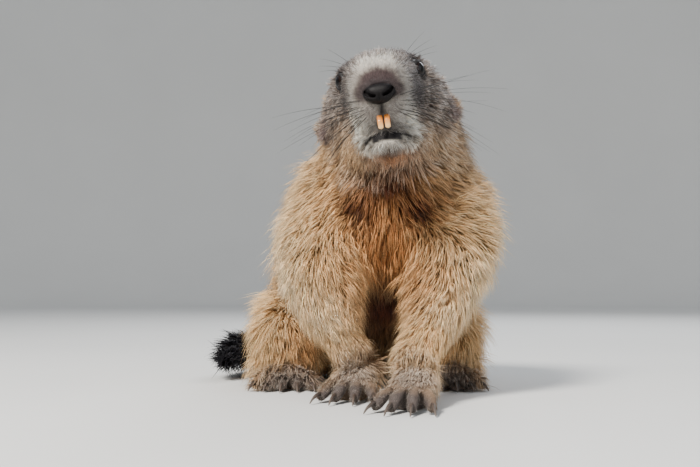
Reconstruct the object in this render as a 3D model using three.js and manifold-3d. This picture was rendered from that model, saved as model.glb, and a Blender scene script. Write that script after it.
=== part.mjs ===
// An alpine marmot, life size, sitting on its haunches with both forepaws on the floor in front of it.
// Millimetres, +Z up. It faces -Y, and its own left side is +X. The origin is on the floor under the rump.
import * as THREE from "three";
import { mergeVertices } from "three/addons/utils/BufferGeometryUtils.js";
import Module from "manifold-3d";

const wasm = await Module();
wasm.setup();

// Driving sizes
const GAP = 0.35; // between nodes that meet face to face
const EYE_RADIUS = 7.8;
const EYE_SPREAD = 24.2; // from the middle of the head to an eye's centre
const LID_THICKNESS = 1.3;
const LOOK_OUT = 30; // degrees by which each eye looks forward of straight sideways
const MUZZLE_REACH = 40; // from the eyes to the last ring of the muzzle
const EAR_HEIGHT = 19;
const EAR_WIDTH = 18;
const INCISOR_WIDTH = 4.1;
const FORE_TOE = 21;
const HIND_TOE = 22;
const CLAW_LENGTH = 14;

// How the head sits: turned a little to its right, rolled so that its left eye is higher
const HEAD_PLACE = new THREE.Matrix4().compose(
  new THREE.Vector3(7, -180, 229),
  new THREE.Quaternion().setFromEuler(
    new THREE.Euler(
      THREE.MathUtils.degToRad(0),
      THREE.MathUtils.degToRad(-8.5),
      THREE.MathUtils.degToRad(-6),
      "ZXY",
    ),
  ),
  new THREE.Vector3(1, 1, 1),
);

const v3 = (x, y, z) => new THREE.Vector3(x, y, z);

// Solids and meshes

function solidOf(geometry) {
  const bare = geometry.index ? geometry.toNonIndexed() : geometry.clone();
  for (const name of Object.keys(bare.attributes))
    if (name !== "position") bare.deleteAttribute(name);
  const merged = mergeVertices(bare, 1e-4);
  return new wasm.Manifold(
    new wasm.Mesh({
      numProp: 3,
      vertProperties: new Float32Array(merged.attributes.position.array),
      triVerts: new Uint32Array(merged.index.array),
    }),
  );
}

function geometryOf(solid) {
  const { numProp, numVert, vertProperties, triVerts } = solid.getMesh();
  const positions = new Float32Array(numVert * 3);
  for (let i = 0; i < numVert; i++)
    positions.set(
      vertProperties.subarray(i * numProp, i * numProp + 3),
      i * 3,
    );
  const geometry = new THREE.BufferGeometry();
  geometry.setAttribute("position", new THREE.BufferAttribute(positions, 3));
  geometry.setIndex(new THREE.BufferAttribute(new Uint32Array(triVerts), 1));
  geometry.computeVertexNormals();
  return geometry;
}

const placed = (solid, matrix) => solid.transform(matrix.elements.slice());

const largest = (solid) =>
  solid.decompose().sort((a, b) => b.volume() - a.volume())[0];

const joined = (solids) => solids.reduce((all, one) => all.add(one));

const cut = (solid, cutters) =>
  cutters.reduce((left, cutter) => left.subtract(cutter), solid);

function ball(centre, [rx, ry, rz], detail = 3, turn = [0, 0, 0]) {
  const geometry = new THREE.IcosahedronGeometry(1, detail);
  geometry.scale(rx, ry, rz);
  geometry.applyQuaternion(
    new THREE.Quaternion().setFromEuler(new THREE.Euler(...turn)),
  );
  geometry.translate(...centre);
  return solidOf(geometry);
}

// A closed body along a smooth line. Each station is [x, y, z, half-width, reach above, reach below];
// a rounded cap closes each end. "Above" is the side that the back of the animal lies on.
function loft(
  stations,
  { around = 20, steps = 10, capRings = 3, caps = [8, 8], side = [1, 0, 0], grow = 0, square = 2 },
) {
  const line = lineThrough(stations);
  const girth = new THREE.CatmullRomCurve3(
    stations.map(([, , , wide, up, down]) => v3(wide, up, down)),
  );
  const rings = [];
  const capRing = (t, i) => {
    const turn = (i / capRings) * (Math.PI / 2);
    return { t, past: (t ? 1 : -1) * Math.sin(turn), shrink: Math.cos(turn) };
  };
  for (let i = capRings - 1; i > 0; i--) rings.push(capRing(0, i));
  for (let i = 0; i <= steps; i++)
    rings.push({ t: i / steps, past: 0, shrink: 1 });
  for (let i = 1; i < capRings; i++) rings.push(capRing(1, i));

  const positions = [];
  const tip = (t, past) => {
    const reach = caps[t] + grow;
    return line.getPoint(t).addScaledVector(line.getTangent(t), past * reach);
  };
  const first = tip(0, -1);
  positions.push(first.x, first.y, first.z);
  for (const { t, past, shrink } of rings) {
    const centre = line.getPoint(t);
    const along = line.getTangent(t);
    const across = v3(...side).addScaledVector(along, -along.dot(v3(...side))).normalize();
    const above = along.clone().cross(across);
    const size = girth.getPoint(t);
    centre.addScaledVector(along, past * (caps[past < 0 ? 0 : 1] + grow));
    for (let k = 0; k < around; k++) {
      const angle = (k / around) * 2 * Math.PI;
      const c = Math.sign(Math.cos(angle)) * Math.abs(Math.cos(angle)) ** (2 / square);
      const s = Math.sign(Math.sin(angle)) * Math.abs(Math.sin(angle)) ** (2 / square);
      const point = centre
        .clone()
        .addScaledVector(across, c * (size.x + grow) * shrink)
        .addScaledVector(above, s * ((s > 0 ? size.y : size.z) + grow) * shrink);
      positions.push(point.x, point.y, point.z);
    }
  }
  const last = tip(1, 1);
  positions.push(last.x, last.y, last.z);

  const faces = [];
  const at = (ring, k) => 1 + ring * around + (k % around);
  const end = positions.length / 3 - 1;
  for (let k = 0; k < around; k++) {
    faces.push(0, at(0, k + 1), at(0, k));
    for (let ring = 0; ring < rings.length - 1; ring++) {
      faces.push(at(ring, k), at(ring, k + 1), at(ring + 1, k + 1));
      faces.push(at(ring, k), at(ring + 1, k + 1), at(ring + 1, k));
    }
    faces.push(end, at(rings.length - 1, k), at(rings.length - 1, k + 1));
  }
  const geometry = new THREE.BufferGeometry();
  geometry.setAttribute("position", new THREE.Float32BufferAttribute(positions, 3));
  geometry.setIndex(faces);
  const solid = solidOf(geometry);
  return solid.volume() > 0 ? solid : solidOf(flipped(geometry));
}

function flipped(geometry) {
  const index = geometry.index.array;
  for (let i = 0; i < index.length; i += 3)
    [index[i + 1], index[i + 2]] = [index[i + 2], index[i + 1]];
  return geometry;
}

const floor = solidOf(new THREE.BoxGeometry(900, 900, 100).translate(0, 0, -50));
const onFloor = (solid) => solid.subtract(floor);

const lineThrough = (stations) =>
  new THREE.CatmullRomCurve3(
    stations.map(([x, y, z]) => v3(x, y, z)),
    false,
    "centripetal",
  );

// The part of a solid past a plane and the part before it, with the gap between them
function parted(solid, point, along) {
  const back = along.clone().negate();
  return [along, back].map((way) =>
    solid.trimByPlane(way.toArray(), way.dot(point) + GAP / 2),
  );
}

const mirrored = (stations, side) =>
  stations.map(([x, ...rest]) => [side * x, ...rest]);

// Trunk and neck

const BODY = [
  [0, 16, 42, 72, 58, 48],
  [2, -8, 78, 82, 68, 72],
  [9, -42, 118, 84, 70, 86],
  [17, -76, 152, 79, 62, 84],
  [20, -98, 182, 65, 51, 68],
  [17, -117, 205, 55, 43, 54],
  [11, -138, 222, 48, 33, 46],
];
const NECK_FROM = 0.76; // share of the body's length at which the neck starts
const bodyShape = (grow = 0) =>
  loft(BODY, { around: 22, steps: 12, capRings: 4, caps: [52, 14], grow });

// Head, in its own frame: the eyes' mid-point is the origin and the muzzle points to -Y

const SKULL = [
  [0, 46, -12, 45, 31, 34],
  [0, 22, -12, 44.5, 32, 34],
  [0, 0, -14, 32, 33.5, 33],
  [0, -16, -17, 27, 30, 29],
  [0, -30, -21, 23, 22.5, 25.5],
  [0, -MUZZLE_REACH, -25, 18.5, 15.5, 20.5],
];
const JAW = [
  [0, 32, -37, 37, 22, 27],
  [0, -4, -44, 27, 20, 19],
  [0, -24, -49, 18, 12, 13],
  [0, -36, -52, 12, 7, 8.5],
];
const MOUTH_SPREAD = 16.5;
const MOUTH_GAPE = 1.7;
const LIP_CLEFT = { top: -31, bottom: -47, width: 9.4 };
const NOSE = { width: 10.2, centre: [0, -50.5, -20] };

const skullShape = (grow = 0) =>
  loft(SKULL, { around: 24, steps: 11, caps: [22, 8], grow, square: 2.35 });
const jawShape = (grow = 0) =>
  loft(JAW, { around: 18, steps: 6, caps: [12, 4.5], grow });

const eyeAt = (side) => v3(side * EYE_SPREAD, 0, 0);
const eyeBall = (side, grow) =>
  ball(eyeAt(side).toArray(), Array(3).fill(EYE_RADIUS + grow), 2);

// The lids are a thin shell round the eye with an almond opening that looks outwards and a little forwards.
function lids(side) {
  const shell = eyeBall(side, LID_THICKNESS);
  const look = THREE.MathUtils.degToRad(LOOK_OUT);
  const reach = EYE_RADIUS - 0.5;
  const opening = ball(
    [side * (EYE_SPREAD + reach * Math.cos(look)), -reach * Math.sin(look), 0],
    [5.6, 6.9, 5.3],
    2,
    [0, 0, -side * look],
  );
  return { shell, opening };
}

function mouthLine(grow = 0) {
  const stations = [];
  for (const across of [-1, -0.55, 0, 0.55, 1])
    stations.push([
      across * MOUTH_SPREAD,
      -40 + 12 * across * across,
      -46.3 - 3 * across * across,
      13 - 5 * Math.abs(across),
      MOUTH_GAPE * (1.15 - 0.8 * Math.abs(across)),
      MOUTH_GAPE * (1.15 - 0.8 * Math.abs(across)),
    ]);
  return loft(stations, { around: 12, steps: 10, caps: [1, 1], side: [0, 1, 0], grow });
}

function lipCleft() {
  const { top, bottom, width } = LIP_CLEFT;
  const wedge = new THREE.Shape([
    new THREE.Vector2(-0.7, top + 4),
    new THREE.Vector2(-width / 2, bottom),
    new THREE.Vector2(width / 2, bottom),
    new THREE.Vector2(0.7, top + 4),
  ]);
  const geometry = new THREE.ExtrudeGeometry(wedge, { depth: 16, bevelEnabled: false });
  geometry.rotateX(Math.PI / 2);
  geometry.scale(1, 1, -1);
  return solidOf(geometry.translate(0, -42, 0));
}

function nosePad(grow = 0) {
  const [x, y, z] = NOSE.centre;
  const pad = loft(
    [
      [x, y + 6, z - 1, NOSE.width - 1, 4.6, 6],
      [x, y, z - 1.5, NOSE.width, 4.6, 6],
    ],
    { around: 14, steps: 2, capRings: 2, caps: [2, 3.4], grow, square: 2.3 },
  );
  return pad;
}

const nostrils = () =>
  [-1, 1].map((side) =>
    ball([side * 6, -56.5, -20.5], [3.4, 4.2, 1.9], 1, [0, side * 0.5, side * 0.3]),
  );

function incisor(side, grow = 0) {
  const x = side * (INCISOR_WIDTH / 2 + 0.35);
  return loft(
    [
      [x, -34, -31, INCISOR_WIDTH / 2, 1.7, 1.8],
      [x, -42.5, -37, INCISOR_WIDTH / 2, 1.6, 1.7],
      [x, -43.5, -44, INCISOR_WIDTH / 2 - 0.2, 1.1, 1.2],
    ],
    { around: 8, steps: 3, capRings: 1, caps: [0.6, 0.9], side: [1, 0, 0], grow, square: 3 },
  );
}

// An ear is a shallow cup: a rounded flap with a hollow on its outer, forward face.
function ear(side, grow = 0) {
  const centre = [side * 47, 44, -22];
  const lean = [0.1, side * -0.5, side * -0.62];
  const flap = ball(centre, [6 + grow, EAR_WIDTH / 2 + grow, EAR_HEIGHT / 2 + grow], 2, lean);
  if (grow) return flap;
  const hollow = ball(
    [centre[0] + side * 4.6, centre[1] - 3.6, centre[2] + 1.4],
    [4.6, EAR_WIDTH / 2 - 2.6, EAR_HEIGHT / 2 - 2.8],
    2,
    lean,
  );
  return largest(flap.subtract(hollow));
}

// Limbs. The forelegs differ, because the left forepaw stands a little in front of the right one.

const ARMS = {
  left: {
    line: [
      [52, -92, 168, 36, 34, 38],
      [65, -112, 136, 39, 35, 36],
      [61, -134, 100, 36, 31, 31],
      [52, -150, 70, 29, 27, 28],
      [40, -174, 45, 23, 22, 22],
      [30, -196, 29, 17.5, 17, 17],
    ],
    wrist: [29, -208],
    turn: -15,
  },
  right: {
    line: [
      [-20, -92, 166, 36, 34, 38],
      [-32, -110, 134, 37, 35, 37],
      [-34, -130, 98, 35, 32, 33],
      [-30, -142, 68, 30, 28, 28],
      [-21, -149, 44, 23, 22, 22],
      [-11, -150, 29, 17, 16, 16],
    ],
    wrist: [-9, -152],
    turn: -12,
  },
};
const ELBOW_AT = 0.5; // share of the arm's length, from shoulder to wrist

const armShape = (arm, grow = 0) =>
  loft(arm.line, { around: 16, steps: 8, caps: [22, 8], grow });

const THIGH = [
  [44, 24, 50, 36, 46, 50],
  [57, -22, 44, 40, 47, 46],
  [63, -62, 40, 34, 38, 41],
  [60, -84, 34, 26, 28, 32],
];
const thighShape = (side, grow = 0) =>
  loft(mirrored(THIGH, side), { around: 18, steps: 5, caps: [24, 12], grow });

// Paws, in their own frame: the wrist or heel is over the origin, toes point to -Y, and the floor is z = 0

function toe(angle, root, length, thick, grow = 0) {
  const dir = v3(Math.sin(angle), -Math.cos(angle), 0);
  const along = (share, z) => [
    root[0] + dir.x * length * share,
    root[1] + dir.y * length * share,
    z,
  ];
  const stations = [
    [...along(0, thick * 1.75), thick, thick, thick * 1.1],
    [...along(0.45, thick * 1.6), thick * 1.04, thick * 0.95, thick * 1.4],
    [...along(0.85, thick * 0.95), thick * 0.9, thick * 0.8, thick * 1.2],
  ];
  return loft(stations, {
    around: 8,
    steps: 2,
    capRings: 2,
    caps: [thick * 0.7, thick * 0.55],
    side: [Math.cos(angle), Math.sin(angle), 0],
    grow,
  });
}

function claw(angle, root, length, thick, reach, grow = 0) {
  const dir = v3(Math.sin(angle), -Math.cos(angle), 0);
  const base = v3(root[0], root[1], 0).addScaledVector(dir, length * 0.93);
  const along = (share, z) => [
    base.x + dir.x * reach * share,
    base.y + dir.y * reach * share,
    z,
  ];
  return loft(
    [
      [...along(0, thick * 1.25), 1.9, 2.3, 1.8],
      [...along(0.4, thick * 1.15), 1.5, 1.7, 1.4],
      [...along(0.75, thick * 0.72), 0.95, 1.0, 0.9],
      [...along(0.98, 0.9), 0.5, 0.45, 0.4],
    ],
    {
      around: 6,
      steps: 3,
      capRings: 1,
      caps: [1.2, 0.5],
      side: [Math.cos(angle), Math.sin(angle), 0],
      grow,
    },
  );
}

const FORE_PAW = {
  palm: [
    [0, 8, 17, 15, 14, 15],
    [0, -8, 13, 16.5, 11, 14.5],
    [0, -21, 11, 16.5, 8.5, 12],
  ],
  caps: [9, 5],
  toes: [-0.34, -0.12, 0.12, 0.34],
  spread: 8.6,
  knuckle: -22,
  length: FORE_TOE,
  thick: 5.1,
  claw: CLAW_LENGTH,
  outerShort: 0.84,
};
const HIND_PAW = {
  palm: [
    [0, 10, 17, 16, 17, 16],
    [0, -20, 13, 16, 14, 14],
    [0, -48, 10, 18, 8.5, 12],
  ],
  caps: [12, 5],
  toes: [-0.36, -0.17, 0, 0.17, 0.36],
  spread: 8,
  knuckle: -49,
  length: HIND_TOE,
  thick: 4.8,
  claw: CLAW_LENGTH - 3,
  outerShort: 0.82,
};

function toePlan(paw) {
  const middle = (paw.toes.length - 1) / 2;
  return paw.toes.map((angle, i) => {
    const out = (i - middle) / middle;
    return {
      angle,
      root: [(i - middle) * paw.spread, paw.knuckle + 2.5 * out * out],
      length: paw.length * (1 - (1 - paw.outerShort) * out * out),
    };
  });
}

function pawShape(paw, grow = 0) {
  const palm = loft(paw.palm, { around: 12, steps: 3, capRings: 2, caps: paw.caps, grow });
  const toes = toePlan(paw).map(({ angle, root, length }) =>
    toe(angle, root, length, paw.thick, grow),
  );
  return joined([palm, ...toes]);
}

const pawClaws = (paw, grow = 0) =>
  toePlan(paw).map(({ angle, root, length }) =>
    claw(angle, root, length, paw.thick, paw.claw, grow),
  );

const pawPlace = ([x, y], turn) =>
  new THREE.Matrix4()
    .makeTranslation(x, y, 0)
    .multiply(new THREE.Matrix4().makeRotationZ(THREE.MathUtils.degToRad(turn)));

// Tail: a core with flat locks of hair set in rows round it, which lie along it out to its full girth

const TAIL = [
  [-2, 56, 26, 22, 20, 24],
  [-34, 86, 23, 20, 19, 23],
  [-72, 88, 22, 21, 20, 24],
  [-102, 60, 22, 23, 21, 24],
  [-116, 22, 21, 22, 20, 23],
  [-119, -8, 17, 12, 13, 18],
];
const TAIL_CORE = 0.5; // the core's girth as a share of the whole
const TAIL_NODES = { tail_base: [0, 0.3], tail_middle: [0.3, 0.56], tail_tuft: [0.56, 1] };
const LOCKS = {
  rows: 8,
  around: 6,
  firstRow: 0.1, // share of the tail's length
  lastRow: 0.93,
  length: 35,
  pastEnd: 15, // how far the last tips reach past the tail's last station
  halfWidths: [4, 8.6, 0.9],
  halfThicknesses: [2.2, 2, 0.6],
  reaches: [0.28, 0.82, 1], // share of the full girth at root, middle and tip
  clearOfFloor: [6, 3.2, 1.4],
  unevenness: 0.14,
  seed: 71,
};

const tailLine = lineThrough(TAIL);
const tailLength = tailLine.getLength();
const tailGirth = new THREE.CatmullRomCurve3(
  TAIL.map(([, , , wide, up, down]) => v3(wide, up, down)),
);

function tailCore(grow = 0) {
  const thin = TAIL.map(([x, y, z, ...girth]) => [x, y, z, ...girth.map((g) => g * TAIL_CORE)]);
  return loft(thin, { around: 10, steps: 10, capRings: 2, caps: [12, 6], side: [0, 0, 1], grow });
}

// Seeded random numbers between -1 and 1, the same in every build
function unevenNumbers(seed) {
  let state = seed;
  return () => {
    state = (state * 16807) % 2147483647;
    return (2 * state) / 2147483647 - 1;
  };
}

// A point beside the tail's line, at a share of the full girth
function besideTail(share, angle, reach) {
  const inside = Math.min(share, 1);
  const along = tailLine.getTangent(inside);
  const across = v3(0, 0, 1).addScaledVector(along, -along.z).normalize();
  const above = along.clone().cross(across);
  const girth = tailGirth.getPoint(inside);
  const c = Math.cos(angle);
  const s = Math.sin(angle);
  return tailLine
    .getPoint(inside)
    .addScaledVector(along, (share - inside) * tailLength)
    .addScaledVector(across, c * girth.x * reach)
    .addScaledVector(above, s * (s > 0 ? girth.y : girth.z) * reach);
}

function tailLock(share, angle, length, grow) {
  const stations = LOCKS.reaches.map((reach, i) => {
    const place = share + ((i / 2) * length) / tailLength;
    const point = besideTail(place, angle, reach);
    return [
      point.x,
      point.y,
      Math.max(point.z, LOCKS.clearOfFloor[i]),
      LOCKS.halfWidths[i],
      LOCKS.halfThicknesses[i],
      LOCKS.halfThicknesses[i],
    ];
  });
  const side = besideTail(share, angle + Math.PI / 2, 1).sub(tailLine.getPoint(share)).toArray();
  return loft(stations, { around: 4, steps: 2, capRings: 1, caps: [1, 2], side, grow });
}

// The locks whose roots lie between two shares of the tail's length
function tailLocks([from, to], grow = 0) {
  const uneven = unevenNumbers(LOCKS.seed);
  const locks = [];
  for (let row = 0; row < LOCKS.rows; row++)
    for (let k = 0; k < LOCKS.around; k++) {
      const rowShare = row / (LOCKS.rows - 1);
      const share = LOCKS.firstRow + (LOCKS.lastRow - LOCKS.firstRow) * rowShare + 0.012 * uneven();
      const angle = ((k + (row % 2) / 2) / LOCKS.around) * 2 * Math.PI + LOCKS.unevenness * uneven();
      const longest = (1 - share) * tailLength + LOCKS.pastEnd;
      const length = Math.min(LOCKS.length * (1 + LOCKS.unevenness * uneven()), longest);
      if (share > from && share < to) locks.push(tailLock(share, angle, length, grow));
    }
  return joined(locks);
}

// Materials, one for each finish

const finish = (color, roughness = 0.9) =>
  new THREE.MeshStandardMaterial({ color, roughness, metalness: 0 });
const FINISHES = {
  tawny_fur: finish(0xc79a66),
  grey_fur: finish(0x8d8378),
  pale_fur: finish(0xd8b98c),
  black_fur: finish(0x15121a),
  paw_skin: finish(0x9a8778, 0.8),
  claw_horn: finish(0x2a2422, 0.45),
  eye_dark: finish(0x0a0705, 0.08),
  nose_skin: finish(0x17110f, 0.5),
  tooth_enamel: finish(0xd9822f, 0.35),
};

// Assembly

const marmot = new THREE.Group();
const headGroup = new THREE.Group();
headGroup.applyMatrix4(HEAD_PLACE);
marmot.add(headGroup);

function addNode(group, name, solid, material) {
  const mesh = new THREE.Mesh(geometryOf(largest(solid)), FINISHES[material]);
  mesh.name = name;
  group.add(mesh);
}

// Head parts
const eyeCutters = [];
let skull = skullShape();
for (const [name, side] of [["left", 1], ["right", -1]]) {
  const { shell, opening } = lids(side);
  skull = skull.add(shell).subtract(opening);
  eyeCutters.push(eyeBall(side, GAP));
  addNode(headGroup, "eye_" + name, eyeBall(side, 0), "eye_dark");
}
const teeth = [-1, 1].map((side) => incisor(side));
const toothRoom = [-1, 1].map((side) => incisor(side, GAP));
const ears = [-1, 1].map((side) => ear(side));
const earRoom = [-1, 1].map((side) => ear(side, GAP));
skull = cut(skull, [
  ...eyeCutters,
  ...toothRoom,
  ...earRoom,
  nosePad(GAP),
  mouthLine(),
  lipCleft(),
]);
const jaw = cut(jawShape(), [skullShape(GAP), mouthLine(), ...toothRoom]);
const pad = cut(nosePad(), nostrils());
addNode(headGroup, "head", skull, "grey_fur");
addNode(headGroup, "lower_jaw", jaw, "grey_fur");
addNode(headGroup, "nose_pad", pad, "nose_skin");
addNode(headGroup, "ear_left", ears[1], "grey_fur");
addNode(headGroup, "ear_right", ears[0], "grey_fur");
addNode(headGroup, "incisor_left", teeth[1], "tooth_enamel");
addNode(headGroup, "incisor_right", teeth[0], "tooth_enamel");

const headRoom = [skullShape(GAP), jawShape(GAP), ...earRoom].map((solid) =>
  placed(solid, HEAD_PLACE),
);

// Forelegs and forepaws
const armRoom = [];
for (const [name, arm] of Object.entries(ARMS)) {
  const place = pawPlace(arm.wrist, arm.turn);
  const group = new THREE.Group();
  group.applyMatrix4(place);
  marmot.add(group);
  const claws = pawClaws(FORE_PAW);
  const clawRoom = pawClaws(FORE_PAW, GAP);
  addNode(group, "forepaw_" + name, onFloor(cut(pawShape(FORE_PAW), clawRoom)), "paw_skin");
  claws.forEach((solid, i) =>
    addNode(group, `claw_fore_${name}_${i + 1}`, onFloor(solid), "claw_horn"),
  );
  const pawRoom = placed(pawShape(FORE_PAW, GAP), place);
  const armLine = lineThrough(arm.line);
  const [fore, upper] = parted(
    cut(armShape(arm), [pawRoom, ...headRoom]),
    armLine.getPoint(ELBOW_AT),
    armLine.getTangent(ELBOW_AT),
  );
  addNode(marmot, "forearm_" + name, onFloor(fore), "pale_fur");
  addNode(marmot, "upper_arm_" + name, upper, "tawny_fur");
  armRoom.push(armShape(arm, GAP), pawRoom);
}

// Hind legs and hind paws
const legRoom = [];
for (const [name, side] of [["left", 1], ["right", -1]]) {
  const place = pawPlace([side * 60, -42], side * 5);
  const group = new THREE.Group();
  group.applyMatrix4(place);
  marmot.add(group);
  const claws = pawClaws(HIND_PAW);
  const clawRoom = pawClaws(HIND_PAW, GAP);
  addNode(group, "hindpaw_" + name, onFloor(cut(pawShape(HIND_PAW), clawRoom)), "paw_skin");
  claws.forEach((solid, i) =>
    addNode(group, `claw_hind_${name}_${i + 1}`, onFloor(solid), "claw_horn"),
  );
  const pawRoom = placed(pawShape(HIND_PAW, GAP), place);
  const thigh = cut(thighShape(side), [pawRoom, ...armRoom]);
  addNode(marmot, "thigh_" + name, onFloor(thigh), "tawny_fur");
  legRoom.push(thighShape(side, GAP), pawRoom);
}

// Tail, in three lengths: the locks of each lie over the start of the next, clear of it and of trunk and legs
let locksBefore = [];
for (const [name, range] of Object.entries(TAIL_NODES)) {
  const [from, to] = range;
  const past = (solid) =>
    from > 0 ? parted(solid, tailLine.getPoint(from), tailLine.getTangent(from))[0] : solid;
  const before = (solid) =>
    to < 1 ? parted(solid, tailLine.getPoint(to), tailLine.getTangent(to))[1] : solid;
  const core = before(past(cut(tailCore(), legRoom)));
  const locks = past(cut(tailLocks(range), [bodyShape(GAP), ...legRoom]));
  const length = cut(core.add(locks), locksBefore);
  addNode(marmot, name, onFloor(length), name === "tail_tuft" ? "black_fur" : "tawny_fur");
  locksBefore = [tailLocks(range, GAP)];
}

// Trunk and neck last, cut clear of all that grows from them, and parted from each other
const bodyLine = lineThrough(BODY);
const [neck, trunk] = parted(
  cut(bodyShape(), [...headRoom, ...armRoom, ...legRoom, tailCore(GAP)]),
  bodyLine.getPoint(NECK_FROM),
  bodyLine.getTangent(NECK_FROM),
);
addNode(marmot, "neck", neck, "grey_fur");
addNode(marmot, "torso", onFloor(trunk), "tawny_fur");

export default marmot;
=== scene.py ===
import math

import bmesh
import bpy
import numpy as np
from mathutils import Matrix, Vector
from mathutils.bvhtree import BVHTree
from mathutils.kdtree import KDTree


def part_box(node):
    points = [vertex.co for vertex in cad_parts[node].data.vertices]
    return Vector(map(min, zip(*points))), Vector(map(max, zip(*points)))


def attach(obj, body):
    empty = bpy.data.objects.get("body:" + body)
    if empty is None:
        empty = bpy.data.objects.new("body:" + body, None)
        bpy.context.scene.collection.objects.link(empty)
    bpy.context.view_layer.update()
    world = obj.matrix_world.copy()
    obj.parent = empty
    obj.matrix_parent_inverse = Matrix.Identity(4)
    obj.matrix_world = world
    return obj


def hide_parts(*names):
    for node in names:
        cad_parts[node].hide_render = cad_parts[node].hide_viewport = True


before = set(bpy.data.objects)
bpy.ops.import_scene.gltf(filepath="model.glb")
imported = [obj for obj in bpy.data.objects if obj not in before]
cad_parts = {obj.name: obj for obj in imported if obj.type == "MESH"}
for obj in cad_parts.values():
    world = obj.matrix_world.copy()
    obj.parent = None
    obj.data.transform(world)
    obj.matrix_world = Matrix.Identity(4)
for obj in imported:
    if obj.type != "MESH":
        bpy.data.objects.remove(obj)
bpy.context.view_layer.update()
MM = 0.001
SIDES = {"left": 1, "right": -1}

# The head's place: its frame has its origin between the eyes, with the muzzle towards -Y
HEAD_TURN = math.radians(-6)
HEAD_ROLL = math.radians(-8.5)
EYE_SPOTS = {side: (sum(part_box("eye_" + side), Vector()) / 2) for side in SIDES}
HEAD_CENTRE = (EYE_SPOTS["left"] + EYE_SPOTS["right"]) / 2
HEAD_AXES = Matrix.Rotation(HEAD_TURN, 3, "Z") @ Matrix.Rotation(HEAD_ROLL, 3, "Y")
EYE_RADIUS = (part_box("eye_left")[1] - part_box("eye_left")[0]).z / 2

# Camera: the photograph's view
CAMERA_SPOT = Vector((-14, -880, 81)) * MM
CAMERA_RISE = math.radians(3)
FOCAL_IN_WIDTHS = 1000 / 700
SENSOR = 36

# Coat
RANDOM_SEED = 11
SINK = 1.2 * MM  # how deep a tuft's root sits in the skin
PATCH = 0.003  # width of a tuft's patch on the bake map
PIECE_LIMIT = 190_000  # triangles in one piece of the coat
MERGE = 0.01 * MM  # points closer than this are one


# Small helpers

def deselect():
    if bpy.context.object and bpy.context.object.mode != "OBJECT":
        bpy.ops.object.mode_set(mode="OBJECT")
    bpy.ops.object.select_all(action="DESELECT")


def activate(piece):
    deselect()
    piece.select_set(True)
    bpy.context.view_layer.objects.active = piece


def add_object(name, mesh):
    piece = bpy.data.objects.new(name, mesh)
    bpy.context.scene.collection.objects.link(piece)
    return piece


def apply_modifier(piece, kind, **settings):
    activate(piece)
    modifier = piece.modifiers.new(kind.title(), kind)
    for key, value in settings.items():
        setattr(modifier, key, value)
    bpy.ops.object.modifier_apply(modifier=modifier.name)


def joined(pieces):
    """All pieces joined into the first."""
    deselect()
    for piece in pieces:
        piece.select_set(True)
    bpy.context.view_layer.objects.active = pieces[0]
    bpy.ops.object.join()
    return pieces[0]


def mesh_of(name, points, faces):
    """An object of its own from points and faces, with its faces turned outwards."""
    mesh = bpy.data.meshes.new(name)
    mesh.from_pydata(points, [], faces)
    work = bmesh.new()
    work.from_mesh(mesh)
    bmesh.ops.recalc_face_normals(work, faces=work.faces)
    work.to_mesh(mesh)
    work.free()
    return add_object(name, mesh)


def ring_faces(row, after_row, around):
    """Quads between two rings of points, given by the number of each ring's first point."""
    faces = []
    for k in range(around):
        after = (k + 1) % around
        faces.append((row + k, row + after, after_row + after, after_row + k))
    return faces


def copy_of_node(node, name, fatten=0.0):
    """A merged copy of a solid's mesh, grown by `fatten` along its normals."""
    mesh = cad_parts[node].data.copy()
    mesh.materials.clear()
    work = bmesh.new()
    work.from_mesh(mesh)
    bmesh.ops.remove_doubles(work, verts=work.verts, dist=MERGE)
    work.normal_update()
    for vert in work.verts:
        vert.co += vert.normal * fatten
    work.to_mesh(mesh)
    work.free()
    return add_object(name, mesh)


def points_of(mesh):
    points = np.empty(len(mesh.vertices) * 3)
    mesh.vertices.foreach_get("co", points)
    return points.reshape(-1, 3)


def normals_of(mesh):
    normals = np.empty(len(mesh.vertices) * 3)
    mesh.vertices.foreach_get("normal", normals)
    return normals.reshape(-1, 3)


def set_points(mesh, points):
    mesh.vertices.foreach_set("co", points.ravel())
    mesh.update()


def edges_of(mesh):
    edges = np.empty(len(mesh.edges) * 2, np.int64)
    mesh.edges.foreach_get("vertices", edges)
    return edges.reshape(-1, 2)


def unit(vectors):
    lengths = np.linalg.norm(vectors, axis=-1, keepdims=True)
    return vectors / np.maximum(lengths, 1e-12)


def smooth_values(edges, values, rounds, share=0.5):
    """Laplacian smoothing of any per-vertex values over a mesh's edges."""
    count = len(values)
    ends = np.concatenate([edges[:, 0], edges[:, 1]])
    others = np.concatenate([edges[:, 1], edges[:, 0]])
    degree = np.maximum(np.bincount(ends, minlength=count), 1)
    values = values.reshape(count, -1).copy()
    share = np.broadcast_to(np.asarray(share, float).reshape(-1, 1), (count, 1))
    for _ in range(rounds):
        for column in range(values.shape[1]):
            total = np.bincount(ends, values[others, column], minlength=count)
            mean = total / degree
            values[:, column] += share[:, 0] * (mean - values[:, column])
    return values.squeeze()


def head_frame(points):
    """World points in metres as millimetres in the head's frame: to its own left, forward, up."""
    local = (points - np.array(HEAD_CENTRE)) @ np.array(HEAD_AXES) / MM
    return local * np.array([1, -1, 1])


def from_head(points, is_direction=False):
    """The way back from the head's frame to world metres."""
    local = np.asarray(points, float) * np.array([1, -1, 1])
    world = local @ np.array(HEAD_AXES).T
    return world if is_direction else world * MM + np.array(HEAD_CENTRE)


def blob(points, centre, size):
    """1 at the centre, falling to about a third at `size` away, in the points' own units."""
    away = (points - np.array(centre, float)) / np.array(size, float)
    return np.exp(-(away ** 2).sum(-1))


def ramp(values, low, high):
    share = np.clip((values - low) / (high - low), 0, 1)
    return share * share * (3 - 2 * share)


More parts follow.
